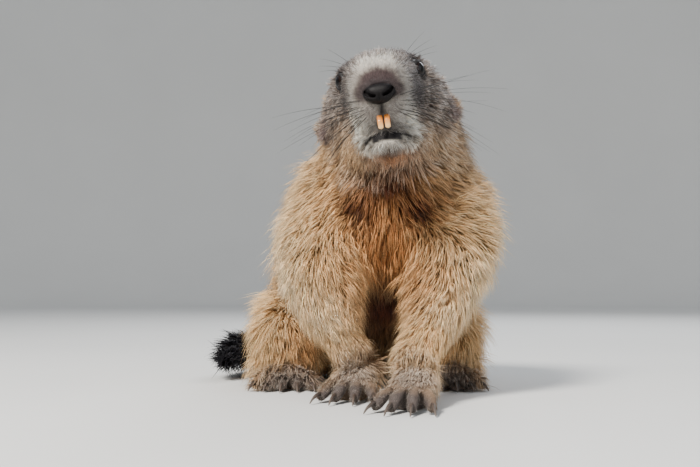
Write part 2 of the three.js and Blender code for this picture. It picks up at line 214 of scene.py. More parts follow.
def srgb(red, green, blue):
    """A colour as seen on screen, 0 to 255, as linear light."""
    seen = np.array([red, green, blue]) / 255
    return np.where(seen <= 0.04045, seen / 12.92, ((seen + 0.055) / 1.055) ** 2.4)


# Tail line, as the solids have it

TAIL_LINE = np.array([
    (-2, 56, 26), (-34, 86, 23), (-72, 88, 22), (-102, 60, 22), (-116, 22, 21), (-119, -8, 17),
]) * MM
TAIL_CORE = np.array([14, 12, 11, 10, 9, 4]) * MM
TAIL_STATIONS = 40
TAIL_AROUND = 14


# Groom: guide hairs. Each is (where, way it lies, length, rise, coat depth, reach), in millimetres;
# rise is the angle off the skin in degrees. The first list is in the head's frame, the second in the world.

FACE_GUIDES = [
    ((0, 48, -9), (0, -0.6, 1), 3.0, 24, 1.6, 8),
    ((0, 38, -1), (0, -1, 0.8), 4.0, 22, 2.2, 9),
    ((0, 22, 12), (0, -1, 0.45), 5.5, 22, 2.8, 12),
    ((0, 4, 20), (0, -1, 0.1), 7.5, 24, 3.4, 14),
    ((0, -22, 21), (0, -1, -0.1), 10, 24, 5, 18),
    ((0, 50, -38), (0, -0.3, -1), 3.0, 20, 1.4, 7),
    ((0, 42, -56), (0, -0.3, -1), 5, 26, 1.8, 7),
    ((0, 30, -62), (0, -1, -0.8), 6, 26, 3.0, 10),
    ((0, 8, -64), (0, -1, -0.6), 11, 26, 5, 14),
]
FACE_GUIDES_BOTH_SIDES = [
    ((15, 46, -16), (1, -0.7, 0.2), 3.4, 24, 1.6, 8),
    ((18, 40, -30), (1, -0.9, -0.3), 4.6, 24, 2.0, 9),
    ((10, 48, -36), (0.8, -0.4, -0.8), 3.6, 22, 1.6, 7),
    ((20, 30, -8), (1, -1, 0.25), 5, 22, 2.2, 9),
    ((26, 12, -8), (0.7, -1, -0.1), 5.5, 20, 2.4, 9),
    ((14, 12, 16), (0.35, -1, 0.5), 5.5, 22, 2.8, 10),
    ((29, -2, 12), (0.5, -1, 0.4), 6.5, 24, 2.4, 8),
    ((30, 2, -12), (0.6, -1, -0.4), 6, 20, 2.4, 8),
    ((16, 38, -50), (0.8, -0.7, -0.8), 6, 26, 2.2, 8),
    ((26, 20, -40), (0.9, -1, -0.5), 9, 24, 3.6, 11),
    ((36, -4, -30), (0.8, -1, -0.6), 12, 26, 5, 13),
    ((38, -22, 4), (0.5, -1, -0.1), 10, 24, 4.6, 13),
    ((45, -30, -30), (0.8, -0.8, -0.8), 16, 30, 7, 16),
    ((30, -10, -56), (0.7, -0.8, -0.9), 15, 30, 6, 14),
    # ears
    ((50, -42, -13), (0.2, -0.6, 0.8), 3.2, 26, 1.2, 8),
    ((50, -46, -22), (0.2, -1, 0.2), 3.2, 26, 1.2, 8),
    ((50, -38, -22), (0.2, -1, 0.2), 3.2, 26, 1.2, 8),
    ((50, -42, -31), (0.2, -1, -0.4), 4.2, 26, 1.6, 8),
]
BODY_GUIDES = [
    # nape and back
    ((11, -120, 246), (0, 1, -0.25), 16, 26, 8, 24),
    ((16, -85, 228), (0, 1, -0.7), 22, 26, 11, 28),
    ((12, -40, 190), (0, 1, -0.9), 26, 26, 13, 36),
    ((6, 10, 150), (0, 0.9, -1), 27, 26, 13, 36),
    ((2, 55, 95), (0, 0.5, -1), 27, 26, 13, 34),
    ((0, 68, 50), (0, 0.2, -1), 26, 26, 12, 28),
    # throat and chest
    ((13, -160, 168), (0.0, 0.2, -1), 20, 30, 9, 16),
    ((13, -152, 140), (0, 0, -1), 25, 28, 12, 20),
    ((12, -146, 108), (0, 0, -1), 27, 24, 12, 22),
    ((10, -136, 78), (0, 0.2, -1), 22, 22, 11, 20),
    ((6, -90, 40), (0, 0.8, -0.5), 18, 20, 9, 30),
    ((4, -30, 6), (0, 1, 0), 12, 8, 3, 40),
    # neck sides and shoulders, the animal's right and left
    ((-28, -140, 192), (-0.7, 0.25, -1), 17, 28, 10, 18),
    ((-46, -112, 178), (-0.9, 0.2, -0.9), 19, 26, 13, 20),
    ((-60, -108, 150), (-0.7, 0.1, -1), 20, 24, 13, 20),
    ((-14, -150, 150), (-0.8, 0, -0.8), 24, 30, 12, 14),
    ((-40, -142, 138), (-0.5, 0, -1), 24, 28, 12, 18),
    ((50, -140, 190), (0.8, 0.25, -0.7), 17, 30, 10, 18),
    ((70, -112, 180), (1, 0.2, -0.5), 19, 28, 13, 20),
    ((94, -108, 150), (1, 0.1, -0.5), 20, 30, 14, 20),
    ((38, -150, 150), (0.8, 0, -0.7), 24, 30, 12, 14),
    ((66, -142, 140), (0.8, 0, -0.6), 24, 30, 12, 18),
    # arms: down and in towards the paws
    ((-50, -150, 110), (-0.1, 0, -1), 23, 26, 11, 18),
    ((-22, -160, 100), (0.35, 0, -1), 23, 24, 11, 16),
    ((-66, -120, 100), (-0.25, 0, -1), 23, 28, 11, 18),
    ((-30, -168, 74), (0.45, -0.3, -1), 18, 18, 10, 16),
    ((-54, -140, 72), (0.4, -0.2, -1), 19, 18, 11, 16),
    ((-40, -150, 46), (0.5, -0.2, -1), 13, 12, 9, 13),
    ((-22, -172, 46), (0.5, -0.4, -1), 16, 12, 7.5, 12),
    ((-10, -166, 30), (0.2, -0.8, -1), 14, 11, 3, 10),
    ((66, -162, 104), (0.1, 0, -1), 23, 26, 11, 18),
    ((40, -168, 94), (-0.4, 0, -1), 23, 24, 11, 16),
    ((98, -122, 108), (0.5, 0, -1), 21, 28, 12, 18),
    ((54, -176, 72), (-0.4, -0.4, -1), 18, 18, 10, 16),
    ((80, -140, 72), (-0.3, -0.2, -1), 19, 18, 11, 16),
    ((58, -176, 46), (-0.4, -0.4, -1), 13, 12, 9, 13),
    ((42, -192, 46), (-0.5, -0.6, -1), 16, 12, 7.5, 12),
    ((30, -208, 30), (-0.2, -0.9, -0.9), 14, 11, 3, 10),
]
BODY_GUIDES_BOTH_SIDES = [
    # flanks and haunches
    ((62, -60, 170), (0.6, 0.6, -1), 25, 28, 13, 28),
    ((80, -40, 120), (0.4, 0.6, -1), 26, 28, 13, 30),
    ((72, 20, 110), (0.3, 0.8, -1), 26, 26, 13, 30),
    ((50, 60, 70), (0.3, 0.8, -1), 26, 26, 12, 26),
    ((92, -20, 60), (0.2, 0.3, -1), 25, 26, 12, 24),
    ((94, -50, 40), (0.15, -0.1, -1), 23, 26, 11, 20),
    ((80, 20, 36), (0.2, 0.5, -1), 24, 24, 11, 24),
    ((66, -98, 50), (-0.1, -0.5, -1), 21, 24, 10, 18),
    ((40, -92, 44), (-0.4, -0.3, -1), 20, 22, 9, 18),
    ((66, -92, 16), (0, -0.8, -0.6), 13, 16, 6, 12),
    ((60, -20, 4), (0, -1, 0), 8, 8, 2, 18),
    # hind feet
    ((60, -84, 14), (0, -1, -0.3), 6, 12, 1.4, 9),
    ((60, -112, 10), (0, -1, -0.2), 4, 10, 0.9, 9),
]
PAW_GUIDES = [
    ((-11, -172, 20), (-0.2, -1, -0.5), 8, 10, 1.6, 8),
    ((-11, -180, 13), (-0.2, -1, -0.4), 4.5, 9, 1.0, 8),
    ((-15, -192, 8), (-0.2, -1, -0.3), 3.5, 10, 0.8, 8),
    ((-18, -204, 6), (-0.2, -1, -0.3), 3, 10, 0.7, 8),
    ((26, -220, 20), (-0.25, -1, -0.5), 8, 10, 1.6, 8),
    ((23, -228, 13), (-0.25, -1, -0.4), 4.5, 9, 1.0, 8),
    ((18, -240, 8), (-0.25, -1, -0.3), 3.5, 10, 0.8, 8),
    ((14, -250, 6), (-0.25, -1, -0.3), 3, 10, 0.7, 8),
]


def gather_guides():
    """All guide hairs as arrays in metres: places, ways, lengths, rises in radians, depths, reaches."""
    rows = []
    for place, way, *rest in FACE_GUIDES:
        rows.append((from_head(place), from_head(way, True), *rest))
    for place, way, *rest in FACE_GUIDES_BOTH_SIDES:
        for side in SIDES.values():
            flip = np.array([side, 1, 1])
            rows.append((from_head(place * flip), from_head(way * flip, True), *rest))
    for place, way, *rest in BODY_GUIDES + PAW_GUIDES:
        rows.append((np.array(place) * MM, np.array(way), *rest))
    for place, way, *rest in BODY_GUIDES_BOTH_SIDES:
        for side in SIDES.values():
            flip = np.array([side, 1, 1])
            rows.append((place * flip * MM, way * flip, *rest))
    for i, spot in enumerate(TAIL_LINE):
        after = TAIL_LINE[min(i + 1, len(TAIL_LINE) - 1)]
        before = TAIL_LINE[max(i - 1, 0)]
        length = 18 + 2 * i
        rows.append((spot, after - before, length, 16, 11, 18))
    places = np.array([row[0] for row in rows])
    ways = unit(np.array([row[1] for row in rows], float))
    length, rise, depth, reach = (np.array([row[k] for row in rows], float) for k in (2, 3, 4, 5))
    return places, ways, length * MM, np.radians(rise), depth * MM, reach * MM


GUIDES = gather_guides()
GROOM_BATCH = 20_000
FAR_SHARE = 1e-9  # a far guide counts this little, and only matters where none is near


def groom(points):
    """The coat at each point: the way it lies, its length, rise and depth, from the guides nearby."""
    places, ways, length, rise, depth, reach = GUIDES
    out = [np.empty((len(points), 3))] + [np.empty(len(points)) for _ in range(3)]
    for start in range(0, len(points), GROOM_BATCH):
        part = slice(start, start + GROOM_BATCH)
        away = np.linalg.norm(points[part, None, :] - places[None], axis=-1) / reach
        weight = np.exp(-np.minimum(away ** 2, 40)) / reach + FAR_SHARE / (away + 0.1) ** 4
        weight /= weight.sum(1, keepdims=True)
        out[0][part] = weight @ ways
        out[1][part] = weight @ length
        out[2][part] = weight @ rise
        out[3][part] = weight @ depth
    return out


# Markings: one set of colours for skin and coat

TAN = dict(under=srgb(150, 108, 70), body=srgb(222, 180, 126), tip=srgb(250, 228, 188), dark=0.08)
CREAM = dict(under=srgb(168, 132, 92), body=srgb(234, 204, 160), tip=srgb(254, 244, 222), dark=0.04)
ORANGE = dict(under=srgb(96, 52, 28), body=srgb(200, 132, 74), tip=srgb(240, 194, 136), dark=0.16)
UMBER = dict(under=srgb(34, 18, 12), body=srgb(84, 44, 26), tip=srgb(170, 104, 60), dark=0.5)
# rust-brown belly fur darkened with painted shade, for the gap between the forelegs
RUST_GAP_SHADE = dict(under=srgb(32, 13, 9), body=srgb(78, 38, 24), tip=srgb(142, 80, 48), dark=0.35)
AGOUTI = dict(under=srgb(70, 54, 46), body=srgb(146, 120, 96), tip=srgb(222, 204, 176), dark=0.36)
NECK = dict(under=srgb(84, 60, 42), body=srgb(208, 170, 126), tip=srgb(250, 234, 206), dark=0.24)
GREY = dict(under=srgb(38, 32, 32), body=srgb(134, 124, 118), tip=srgb(250, 245, 240), dark=0.42)
DARK_GREY = dict(under=srgb(26, 21, 22), body=srgb(60, 51, 50), tip=srgb(158, 146, 142), dark=0.5)
WHITE = dict(under=srgb(104, 92, 82), body=srgb(232, 226, 212), tip=srgb(255, 253, 246), dark=0.07)
BROWN_NOSE = dict(under=srgb(30, 21, 21), body=srgb(60, 45, 44), tip=srgb(98, 80, 78), dark=0.2)
BLACK = dict(under=srgb(8, 7, 9), body=srgb(14, 12, 17), tip=srgb(34, 32, 44), dark=0.2)
EAR = dict(under=srgb(58, 46, 46), body=srgb(122, 102, 100), tip=srgb(200, 184, 180), dark=0.25)
LIP = dict(under=srgb(9, 6, 7), body=srgb(18, 12, 13), tip=srgb(42, 34, 36), dark=0.4)
PAW = dict(under=srgb(84, 70, 62), body=srgb(184, 164, 146), tip=srgb(230, 218, 204), dark=0.15)
TOE = dict(under=srgb(30, 26, 26), body=srgb(112, 100, 94), tip=srgb(206, 195, 184), dark=0.3)


def mirrored(place, *rest):
    """The same mark on both sides, the given one first."""
    x, y, z = place
    return [(place, *rest), ((-x, y, z), *rest)]


BODY_MARKS = [
    # where in millimetres, size, marking, strength
    ((10, 20, 150), (75, 85, 75), AGOUTI, 0.95),
    ((14, -70, 225), (60, 55, 32), AGOUTI, 0.95),
    ((0, 80, 70), (70, 40, 50), AGOUTI, 0.7),
    ((-34, -134, 190), (24, 30, 22), NECK, 0.95),
    ((60, -132, 188), (28, 34, 24), NECK, 0.9),
    ((72, -116, 196), (22, 30, 22), AGOUTI, 0.75),
    ((-66, -84, 186), (20, 30, 30), AGOUTI, 0.8),
    ((92, -84, 192), (22, 30, 22), AGOUTI, 0.8),
    ((12, -150, 116), (30, 30, 32), ORANGE, 0.95),
    ((12, -152, 150), (36, 26, 22), ORANGE, 0.8),
    ((-14, -150, 84), (24, 30, 24), ORANGE, 0.35),
    ((40, -160, 92), (16, 24, 26), ORANGE, 0.45),
    ((-4, -150, 147), (12, 26, 12), UMBER, 1.0),
    ((31, -150, 146), (11, 26, 10), UMBER, 1.0),
    ((13, -156, 163), (18, 26, 9), UMBER, 1.0),
    ((54, -150, 158), (18, 24, 9), UMBER, 0.5),
    ((8, -146, 120), (9, 26, 16), UMBER, 0.35),
    ((-70, -116, 124), (18, 36, 52), CREAM, 0.95),
    ((-60, -130, 84), (18, 28, 28), CREAM, 0.9),
    ((106, -110, 138), (20, 36, 48), CREAM, 0.9),
    ((82, -150, 84), (18, 28, 28), CREAM, 0.9),
    ((-38, -164, 66), (18, 18, 18), CREAM, 0.6),
    ((62, -170, 64), (18, 18, 18), CREAM, 0.5),
    # the belly in the gap between the forelegs: painted shade over rust-brown fur
    ((11, -118, 70), (17, 46, 26), RUST_GAP_SHADE, 1.0),
    ((8, -104, 38), (28, 50, 26), RUST_GAP_SHADE, 1.0),
    *mirrored((-44, -92, 40), (20, 20, 26), ORANGE, 0.6),
    ((-12, -168, 24), (20, 22, 16), PAW, 0.9),
    ((28, -214, 24), (20, 22, 16), PAW, 0.9),
    ((-17, -190, 4), (34, 30, 15), TOE, 1.0),
    ((19, -238, 4), (34, 32, 15), TOE, 1.0),
    *mirrored((60, -96, 10), (24, 30, 14), PAW, 0.9),
    *mirrored((62, -116, 6), (30, 24, 14), TOE, 0.9),
]
HEAD_MARKS = [
    # to its own left, forward, up; size; marking; strength
    ((-36, -14, -46), (24, 36, 17), NECK, 0.85),
    ((40, -20, -50), (24, 34, 15), NECK, 0.75),
    ((0, 18, -62.5), (26, 22, 5.5), ORANGE, 0.8),
    ((0, -6, -66), (34, 30, 9), ORANGE, 0.9),
    *mirrored((25, 2, 6), (9, 12, 10), DARK_GREY, 0.85),
    *mirrored((-16, 8, 16), (9, 9, 6), DARK_GREY, 0.4),
    *mirrored((50, -42, -22), (7, 11, 12), EAR, 0.95),
]
MUZZLE_MARKS = [
    ((26, 24, -20), (6, 20, 17), DARK_GREY, 0.95),
    ((-25, 22, -14), (5, 18, 12), DARK_GREY, 0.6),
    ((0, 44, -10), (15.5, 16, 9), BROWN_NOSE, 1.0),
    *mirrored((11, 46, -19), (7, 9, 8), BROWN_NOSE, 0.95),
    ((0, 50, -19), (13, 8, 6), BLACK, 0.85),
    *mirrored((8, 46, -33), (6, 10, 6), GREY, 0.8),
    ((0, 48, -33), (2.6, 9, 8), LIP, 1.0),
    ((0, 40, -41), (7.5, 12, 5), DARK_GREY, 0.95),
    *mirrored((13, 38, -43.5), (7, 12, 3.6), DARK_GREY, 0.75),
    *mirrored((18, 30, -49), (5, 10, 4), DARK_GREY, 0.8),
    ((0, 34, -54), (10, 12, 2.6), WHITE, 0.8),
    ((0, 32, -59), (15, 16, 3.4), DARK_GREY, 0.75),
]
MOUTH_HALF_WIDTH = 18
MOUTH_MIDDLE = -46.3
MOUTH_DROOP = 3  # how far the mouth line has sunk at MOUTH_DROOP_AT to the side
MOUTH_DROOP_AT = 16.5


def mouth_height(across):
    return MOUTH_MIDDLE - MOUTH_DROOP * (across / MOUTH_DROOP_AT) ** 2


def muzzle_ring(head):
    """The pale ring round the muzzle: broad at the lips, narrow up the bridge of the nose."""
    across, forward, up = head.T
    half_width = 20.5 - 8.5 * ramp(up, -14, 6) - 7.5 * ramp(-up, 48, 55)
    inside = 1 - ramp(np.abs(across), half_width - 3, half_width + 2.5)
    return inside * ramp(forward, 6, 18) * (1 - ramp(up, 3, 11)) * ramp(up, -56.5, -51)


def lips(head):
    """The dark edge of the mouth and the bare lower lip."""
    across, forward, up = head.T
    below = mouth_height(across) - up
    line = 1 - ramp(np.abs(below), 1.0, 2.6)
    line = line * (1 - ramp(np.abs(across), MOUTH_HALF_WIDTH, MOUTH_HALF_WIDTH + 3))
    lip = (1 - ramp(np.abs(across), 9, 13)) * ramp(below, -1, 0.5) * (1 - ramp(below, 4.6, 6.4))
    return np.maximum(line, lip) * ramp(forward, 12, 20)


TUFT_STARTS = 0.5  # share of the tail's length at which it turns black
OVERLAY = 1.35  # how much stronger than its blob a mark is, up to its full strength: on the body
FACE_OVERLAY = 1.5  # and on the head
HEAD_GREY = 0.94


def tail_share(points):
    """How far along the tail each point lies, 0 to 1, and how far off its line."""
    best = np.full(len(points), np.inf)
    share = np.zeros(len(points))
    pieces = len(TAIL_LINE) - 1
    for i in range(pieces):
        start, run = TAIL_LINE[i], TAIL_LINE[i + 1] - TAIL_LINE[i]
        t = np.clip(((points - start) @ run) / (run @ run), 0, 1)
        away = np.linalg.norm(points - start - t[:, None] * run, axis=1)
        near = away < best
        best[near] = away[near]
        share[near] = (i + t[near]) / pieces
    return share, best


def markings(points):
    """Under, body and tip colour and share of dark-tipped hairs at each point."""
    head = head_frame(points)
    world = points / MM
    count = len(points)
    keys = ("under", "body", "tip", "dark")
    out = {key: np.tile(np.atleast_1d(TAN[key]), (count, 1)).astype(float) for key in keys}

    def lay(weight, marking):
        weight = np.clip(weight, 0, 1)[:, None]
        for key in keys:
            out[key] += weight * (np.atleast_1d(marking[key]) - out[key])

    for centre, size, marking, strength in BODY_MARKS:
        lay(strength * np.minimum(OVERLAY * blob(world, centre, size), 1), marking)
    on_head = ramp(head[:, 1], -52, -34) * ramp(head[:, 2], -66, -57)
    lay(HEAD_GREY * on_head, GREY)
    for centre, size, marking, strength in HEAD_MARKS:
        lay(on_head * strength * np.minimum(FACE_OVERLAY * blob(head, centre, size), 1), marking)
    lay(muzzle_ring(head), WHITE)
    for centre, size, marking, strength in MUZZLE_MARKS:
        lay(on_head * strength * np.minimum(FACE_OVERLAY * blob(head, centre, size), 1), marking)
    lay(lips(head), LIP)
    share, away = tail_share(points)
    on_tail = ramp(-away, -34 * MM, -26 * MM) * ramp(world[:, 1], -30, -20) * ramp(-world[:, 0], 20, 40)
    lay(on_tail * 0.8, AGOUTI)
    lay(on_tail * ramp(share, TUFT_STARTS - 0.06, TUFT_STARTS + 0.06), BLACK)
    return out


# Skin

SKIN_VOXEL = 2 * MM
PAW_VOXEL = 0.85 * MM
FLESH_OVERLAP = 0.5 * MM  # how much each solid is grown, so that they meet when joined
FLOOR_GAP = 0.2 * MM
BODY_ROUNDS = 24  # rounds of smoothing: the body's shape, the coat's depth and the way it is drawn in
DEPTH_ROUNDS = 12
NORMAL_ROUNDS = 6
FINISH_ROUNDS = 3  # on the finished skins of body and paws
BODY_SHARE = 0.5  # strength of a round on the body
FACE_LESS = 0.42  # how much weaker it is on the face and near the floor
NOT_FLESH = ("claw", "ear", "eye", "incisor", "nose", "tail", "forepaw", "hindpaw")
FLESH = sorted(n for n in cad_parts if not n.startswith(NOT_FLESH))
TAIL_NODES = ("tail_base", "tail_middle", "tail_tuft")


def tail_flesh():
    """The tail's own thin core under its long hair."""
    fine = np.linspace(0, len(TAIL_LINE) - 1, TAIL_STATIONS)
    knots = np.arange(len(TAIL_LINE))
    line = np.stack([np.interp(fine, knots, TAIL_LINE[:, k]) for k in range(3)], 1)
    core = np.interp(fine, knots, TAIL_CORE)
    for _ in range(3):
        line[1:-1] = (line[:-2] + 2 * line[1:-1] + line[2:]) / 4
    return tube("tail_flesh", line, core, TAIL_AROUND)


def tube(name, line, radii, around, flat=1.0):
    """A closed tapering tube along a line of points."""
    line = np.asarray(line, float)
    along = unit(np.gradient(line, axis=0))
    helper = np.array([0, 0, 1.0]) if abs(along[0][2]) < 0.9 else np.array([1.0, 0, 0])
    across = unit(np.cross(along, helper))
    above = np.cross(across, along)
    turn = np.linspace(0, 2 * np.pi, around, endpoint=False)[None, :, None]
    ring = np.cos(turn) * across[:, None] + flat * np.sin(turn) * above[:, None]
    points = line[:, None] + ring * np.asarray(radii)[:, None, None]
    verts = [*map(tuple, points.reshape(-1, 3)), tuple(line[0]), tuple(line[-1])]
    start = len(line) * around
    last_ring = start - around
    faces = []
    for row in range(0, last_ring, around):
        faces += ring_faces(row, row + around, around)
    for k in range(around):
        after = (k + 1) % around
        faces.append((start, after, k))
        faces.append((start + 1, last_ring + k, last_ring + after))
    return mesh_of(name, verts, faces)


# Paws in their own frame, in millimetres: toes point to -Y. Toes are listed by their angle.
FORE_PAW = dict(
    palm=[(0, 16, 22), (0, 4, 16), (0, -8, 11), (0, -19, 7)], palm_radii=[12, 14, 14.8, 12.6], flat=0.68,
    toes=(-0.34, -0.12, 0.12, 0.34), spread=8.6, knuckle=-22, length=21, radius=3.9, outer_short=0.84,
)
HIND_PAW = dict(
    palm=[(0, 20, 22), (0, -6, 16), (0, -30, 11), (0, -50, 8.5)], palm_radii=[14, 15, 15, 16], flat=0.7,
    toes=(-0.36, -0.17, 0, 0.17, 0.36), spread=8, knuckle=-49, length=22, radius=3.8, outer_short=0.82,
)
PAW_PLACES = {
    "forepaw_left": (FORE_PAW, (29, -208), -15),
    "forepaw_right": (FORE_PAW, (-9, -152), -12),
    "hindpaw_left": (HIND_PAW, (60, -42), 5),
    "hindpaw_right": (HIND_PAW, (-60, -42), -5),
}
TOE_SHARES = np.array([-0.5, -0.1, 0.22, 0.48, 0.74, 1.0])
TOE_HEIGHTS = np.array([3.4, 3.1, 2.8, 2.3, 1.4, 1.0])  # in toe radii
TOE_GIRTHS = np.array([0.7, 0.84, 0.88, 1.06, 0.88, 0.8])
TOE_SET_BACK = 2.5  # how much further back the outermost toes start
PALM_AROUND = 28
TOE_AROUND = 16


def make_paw(name, paw, wrist, turn):
    """A paw's skin: a low palm with knuckled, parted toes."""
    palm = tube(name, np.array(paw["palm"]), paw["palm_radii"], PALM_AROUND, paw["flat"])
    parts = [palm]
    middle = (len(paw["toes"]) - 1) / 2
    for i, angle in enumerate(paw["toes"]):
        out = (i - middle) / middle
        way = np.array([math.sin(angle), -math.cos(angle)])
        root = np.array([(i - middle) * paw["spread"], paw["knuckle"] + TOE_SET_BACK * out * out])
        length = paw["length"] * (1 - (1 - paw["outer_short"]) * out * out)
        line = np.column_stack([root + way * length * TOE_SHARES[:, None], paw["radius"] * TOE_HEIGHTS])
        knots = np.arange(len(line))
        fine = np.linspace(0, knots[-1], 4 * knots[-1] + 1)
        line = np.stack([np.interp(fine, knots, line[:, k]) for k in range(3)], 1)
        parts.append(tube("toe", line, paw["radius"] * np.interp(fine, knots, TOE_GIRTHS), TOE_AROUND))
    joined(parts)
    mesh = palm.data
    place = Matrix.Translation((*wrist, 0)) @ Matrix.Rotation(math.radians(turn), 4, "Z")
    mesh.transform(Matrix.Scale(MM, 4) @ place)
    apply_modifier(palm, "REMESH", mode="VOXEL", voxel_size=PAW_VOXEL)
    smoothed_above_floor(mesh)
    return palm


def smoothed_above_floor(mesh):
    points = smooth_values(edges_of(mesh), points_of(mesh), FINISH_ROUNDS)
    points[:, 2] = np.maximum(points[:, 2], FLOOR_GAP)
    set_points(mesh, points)


def make_skin():
    """One skin in the solids' shape, drawn in by the depth of the coat."""
    skin = joined([copy_of_node(node, "flesh_" + node, FLESH_OVERLAP) for node in FLESH])
    skin.name = "skin"
    apply_modifier(skin, "REMESH", mode="VOXEL", voxel_size=SKIN_VOXEL)
    mesh = skin.data
    edges = edges_of(mesh)
    points = points_of(mesh)
    head = head_frame(points)
    fine = ramp(head[:, 1], -30, 0) + ramp(-points[:, 2], -26 * MM, -14 * MM)
    points = smooth_values(edges, points, BODY_ROUNDS, BODY_SHARE - FACE_LESS * np.clip(fine, 0, 1))
    set_points(mesh, points)
    depth = smooth_values(edges, groom(points)[3], DEPTH_ROUNDS)
    normals = smooth_values(edges, normals_of(mesh), NORMAL_ROUNDS)
    set_points(mesh, points - unit(normals) * depth[:, None])
    joined([skin, tail_flesh()])
    apply_modifier(skin, "REMESH", mode="VOXEL", voxel_size=SKIN_VOXEL)
    smoothed_above_floor(skin.data)
    return skin


SKIN_DARK = 0.6


def tint_skin(piece):
    """The coat's own markings on the skin, mostly in their dark colour near the roots."""
    marks = markings(points_of(piece.data))
    values = np.ones((len(piece.data.vertices), 4))
    values[:, :3] = SKIN_DARK * marks["under"] + (1 - SKIN_DARK) * marks["body"]
    tint = piece.data.color_attributes.new("coat_colour", "FLOAT_COLOR", "POINT")
    tint.data.foreach_set("color", values.ravel())


COARSE_VOXEL = 4 * MM


def coarse_copy(skins):
    """One coarse closed mesh in the shape of all skins."""
    coarse = joined([add_object("coarse", skin.data.copy()) for skin in skins])
    apply_modifier(coarse, "REMESH", mode="VOXEL", voxel_size=COARSE_VOXEL)
    apply_modifier(coarse, "TRIANGULATE")
    return coarse


OPEN_RAYS = 14
OPEN_REACH = 0.25  # a ray that meets nothing within this distance counts as free
COAT_RISE = 8 * MM  # height above the skin that the rays start from
LEVEL = 1e-3  # a ray that falls less than this misses the floor


def openness_of(coarse):
    """For each vertex of the coarse copy, the share of outward rays that meet neither body nor floor."""
    mesh = coarse.data
    tree = BVHTree.FromObject(coarse, bpy.context.evaluated_depsgraph_get())
    steps = (np.arange(OPEN_RAYS) + 0.5) / OPEN_RAYS
    turn = np.arange(OPEN_RAYS) * math.pi * (3 - math.sqrt(5))
    out = np.sqrt(1 - steps ** 2)
    spread = np.column_stack([out * np.cos(turn), out * np.sin(turn), steps])
    free = []
    nodes = KDTree(len(mesh.vertices))
    for vert in mesh.vertices:
        nodes.insert(vert.co, vert.index)
        frame_of = vert.normal.to_track_quat("Z", "Y")
        start = vert.co + vert.normal * COAT_RISE
        count = 0
        for ray in spread.tolist():
            way = frame_of @ Vector(ray)
            to_floor = start.z / -way.z if way.z < -LEVEL else math.inf
            if to_floor > OPEN_REACH and tree.ray_cast(start, way, OPEN_REACH)[0] is None:
                count += 1
        free.append(count / OPEN_RAYS)
    nodes.balance()
    return nodes, np.array(free)


def openness_at(openness, points):
    nodes, free = openness
    return free[[nodes.find(p)[1] for p in points.tolist()]]


def bake_map_of(coarse):
    """An unwrap of the coarse copy: a tree of its triangles and their map places."""
    activate(coarse)
    bpy.ops.object.mode_set(mode="EDIT")
    bpy.ops.mesh.select_all(action="SELECT")
    bpy.ops.uv.smart_project(angle_limit=math.radians(66), island_margin=0.004)
    bpy.ops.object.mode_set(mode="OBJECT")
    mesh = coarse.data
    corners = np.empty(len(mesh.loops) * 2)
    mesh.uv_layers.active.data.foreach_get("uv", corners)
    corners = corners.reshape(-1, 3, 2)
    triangles = np.empty(len(mesh.polygons) * 3, np.int64)
    mesh.polygons.foreach_get("vertices", triangles)
    points = points_of(mesh)[triangles.reshape(-1, 3)]
    tree = BVHTree.FromPolygons(points.reshape(-1, 3).tolist(),
                                np.arange(len(points) * 3).reshape(-1, 3).tolist())
    return tree, points, corners


def places_on_map(bake_map, points):
    """The map place of each point's nearest spot on the coarse skin."""
    tree, triangles, corners = bake_map
    face = np.array([tree.find_nearest(p)[2] for p in points.tolist()])
    a, b, c = (triangles[face, k] for k in range(3))
    u, v, w = b - a, c - a, points - a
    uu, uv, vv = (u * u).sum(1), (u * v).sum(1), (v * v).sum(1)
    wu, wv = (w * u).sum(1), (w * v).sum(1)
    whole = np.maximum(uu * vv - uv * uv, 1e-18)
    s = np.clip((vv * wu - uv * wv) / whole, 0, 1)[:, None]
    t = np.clip((uu * wv - uv * wu) / whole, 0, 1)[:, None]
    spots = corners[face]
    return spots[:, 0] + s * (spots[:, 1] - spots[:, 0]) + t * (spots[:, 2] - spots[:, 0])


# Coat

CM2_IN_M2 = 1e4


def sample_roots(skins, layer, openness, rng):
    """Random roots of a layer over all skins, with the skin's normals there."""
    samples = [sample_skin(skin.data, layer, openness, rng) for skin in skins]
    return np.concatenate([s[0] for s in samples]), np.concatenate([s[1] for s in samples])


def sample_skin(mesh, layer, openness, rng):
    """Random roots of a layer over one skin."""
    mesh.calc_loop_triangles()
    corners = np.empty(len(mesh.loop_triangles) * 3, np.int64)
    mesh.loop_triangles.foreach_get("vertices", corners)
    corners = corners.reshape(-1, 3)
    points, normals = points_of(mesh), normals_of(mesh)
    a, b, c = (points[corners[:, k]] for k in range(3))
    area = np.linalg.norm(np.cross(b - a, c - a), axis=1) / 2
    expected = area * CM2_IN_M2 * coat_density(layer, openness, (a + b + c) / 3)
    count = rng.poisson(expected)
    face = np.repeat(np.arange(len(corners)), count)
    r1, r2 = rng.random((2, len(face)))
    root = np.sqrt(r1)
    share = np.stack([1 - root, root * (1 - r2), root * r2], 1)[:, :, None]
    return (points[corners[face]] * share).sum(1), unit((normals[corners[face]] * share).sum(1))


def nearest_of(points, centres):
    tree = KDTree(len(centres))
    for i, centre in enumerate(centres.tolist()):
        tree.insert(centre, i)
    tree.balance()
    return np.array([tree.find(p)[1] for p in points.tolist()])


def turned(vectors, axes, angles):
    """Vectors turned about unit axes that they stand square to."""
    return vectors * np.cos(angles)[:, None] + np.cross(axes, vectors) * np.sin(angles)[:, None]


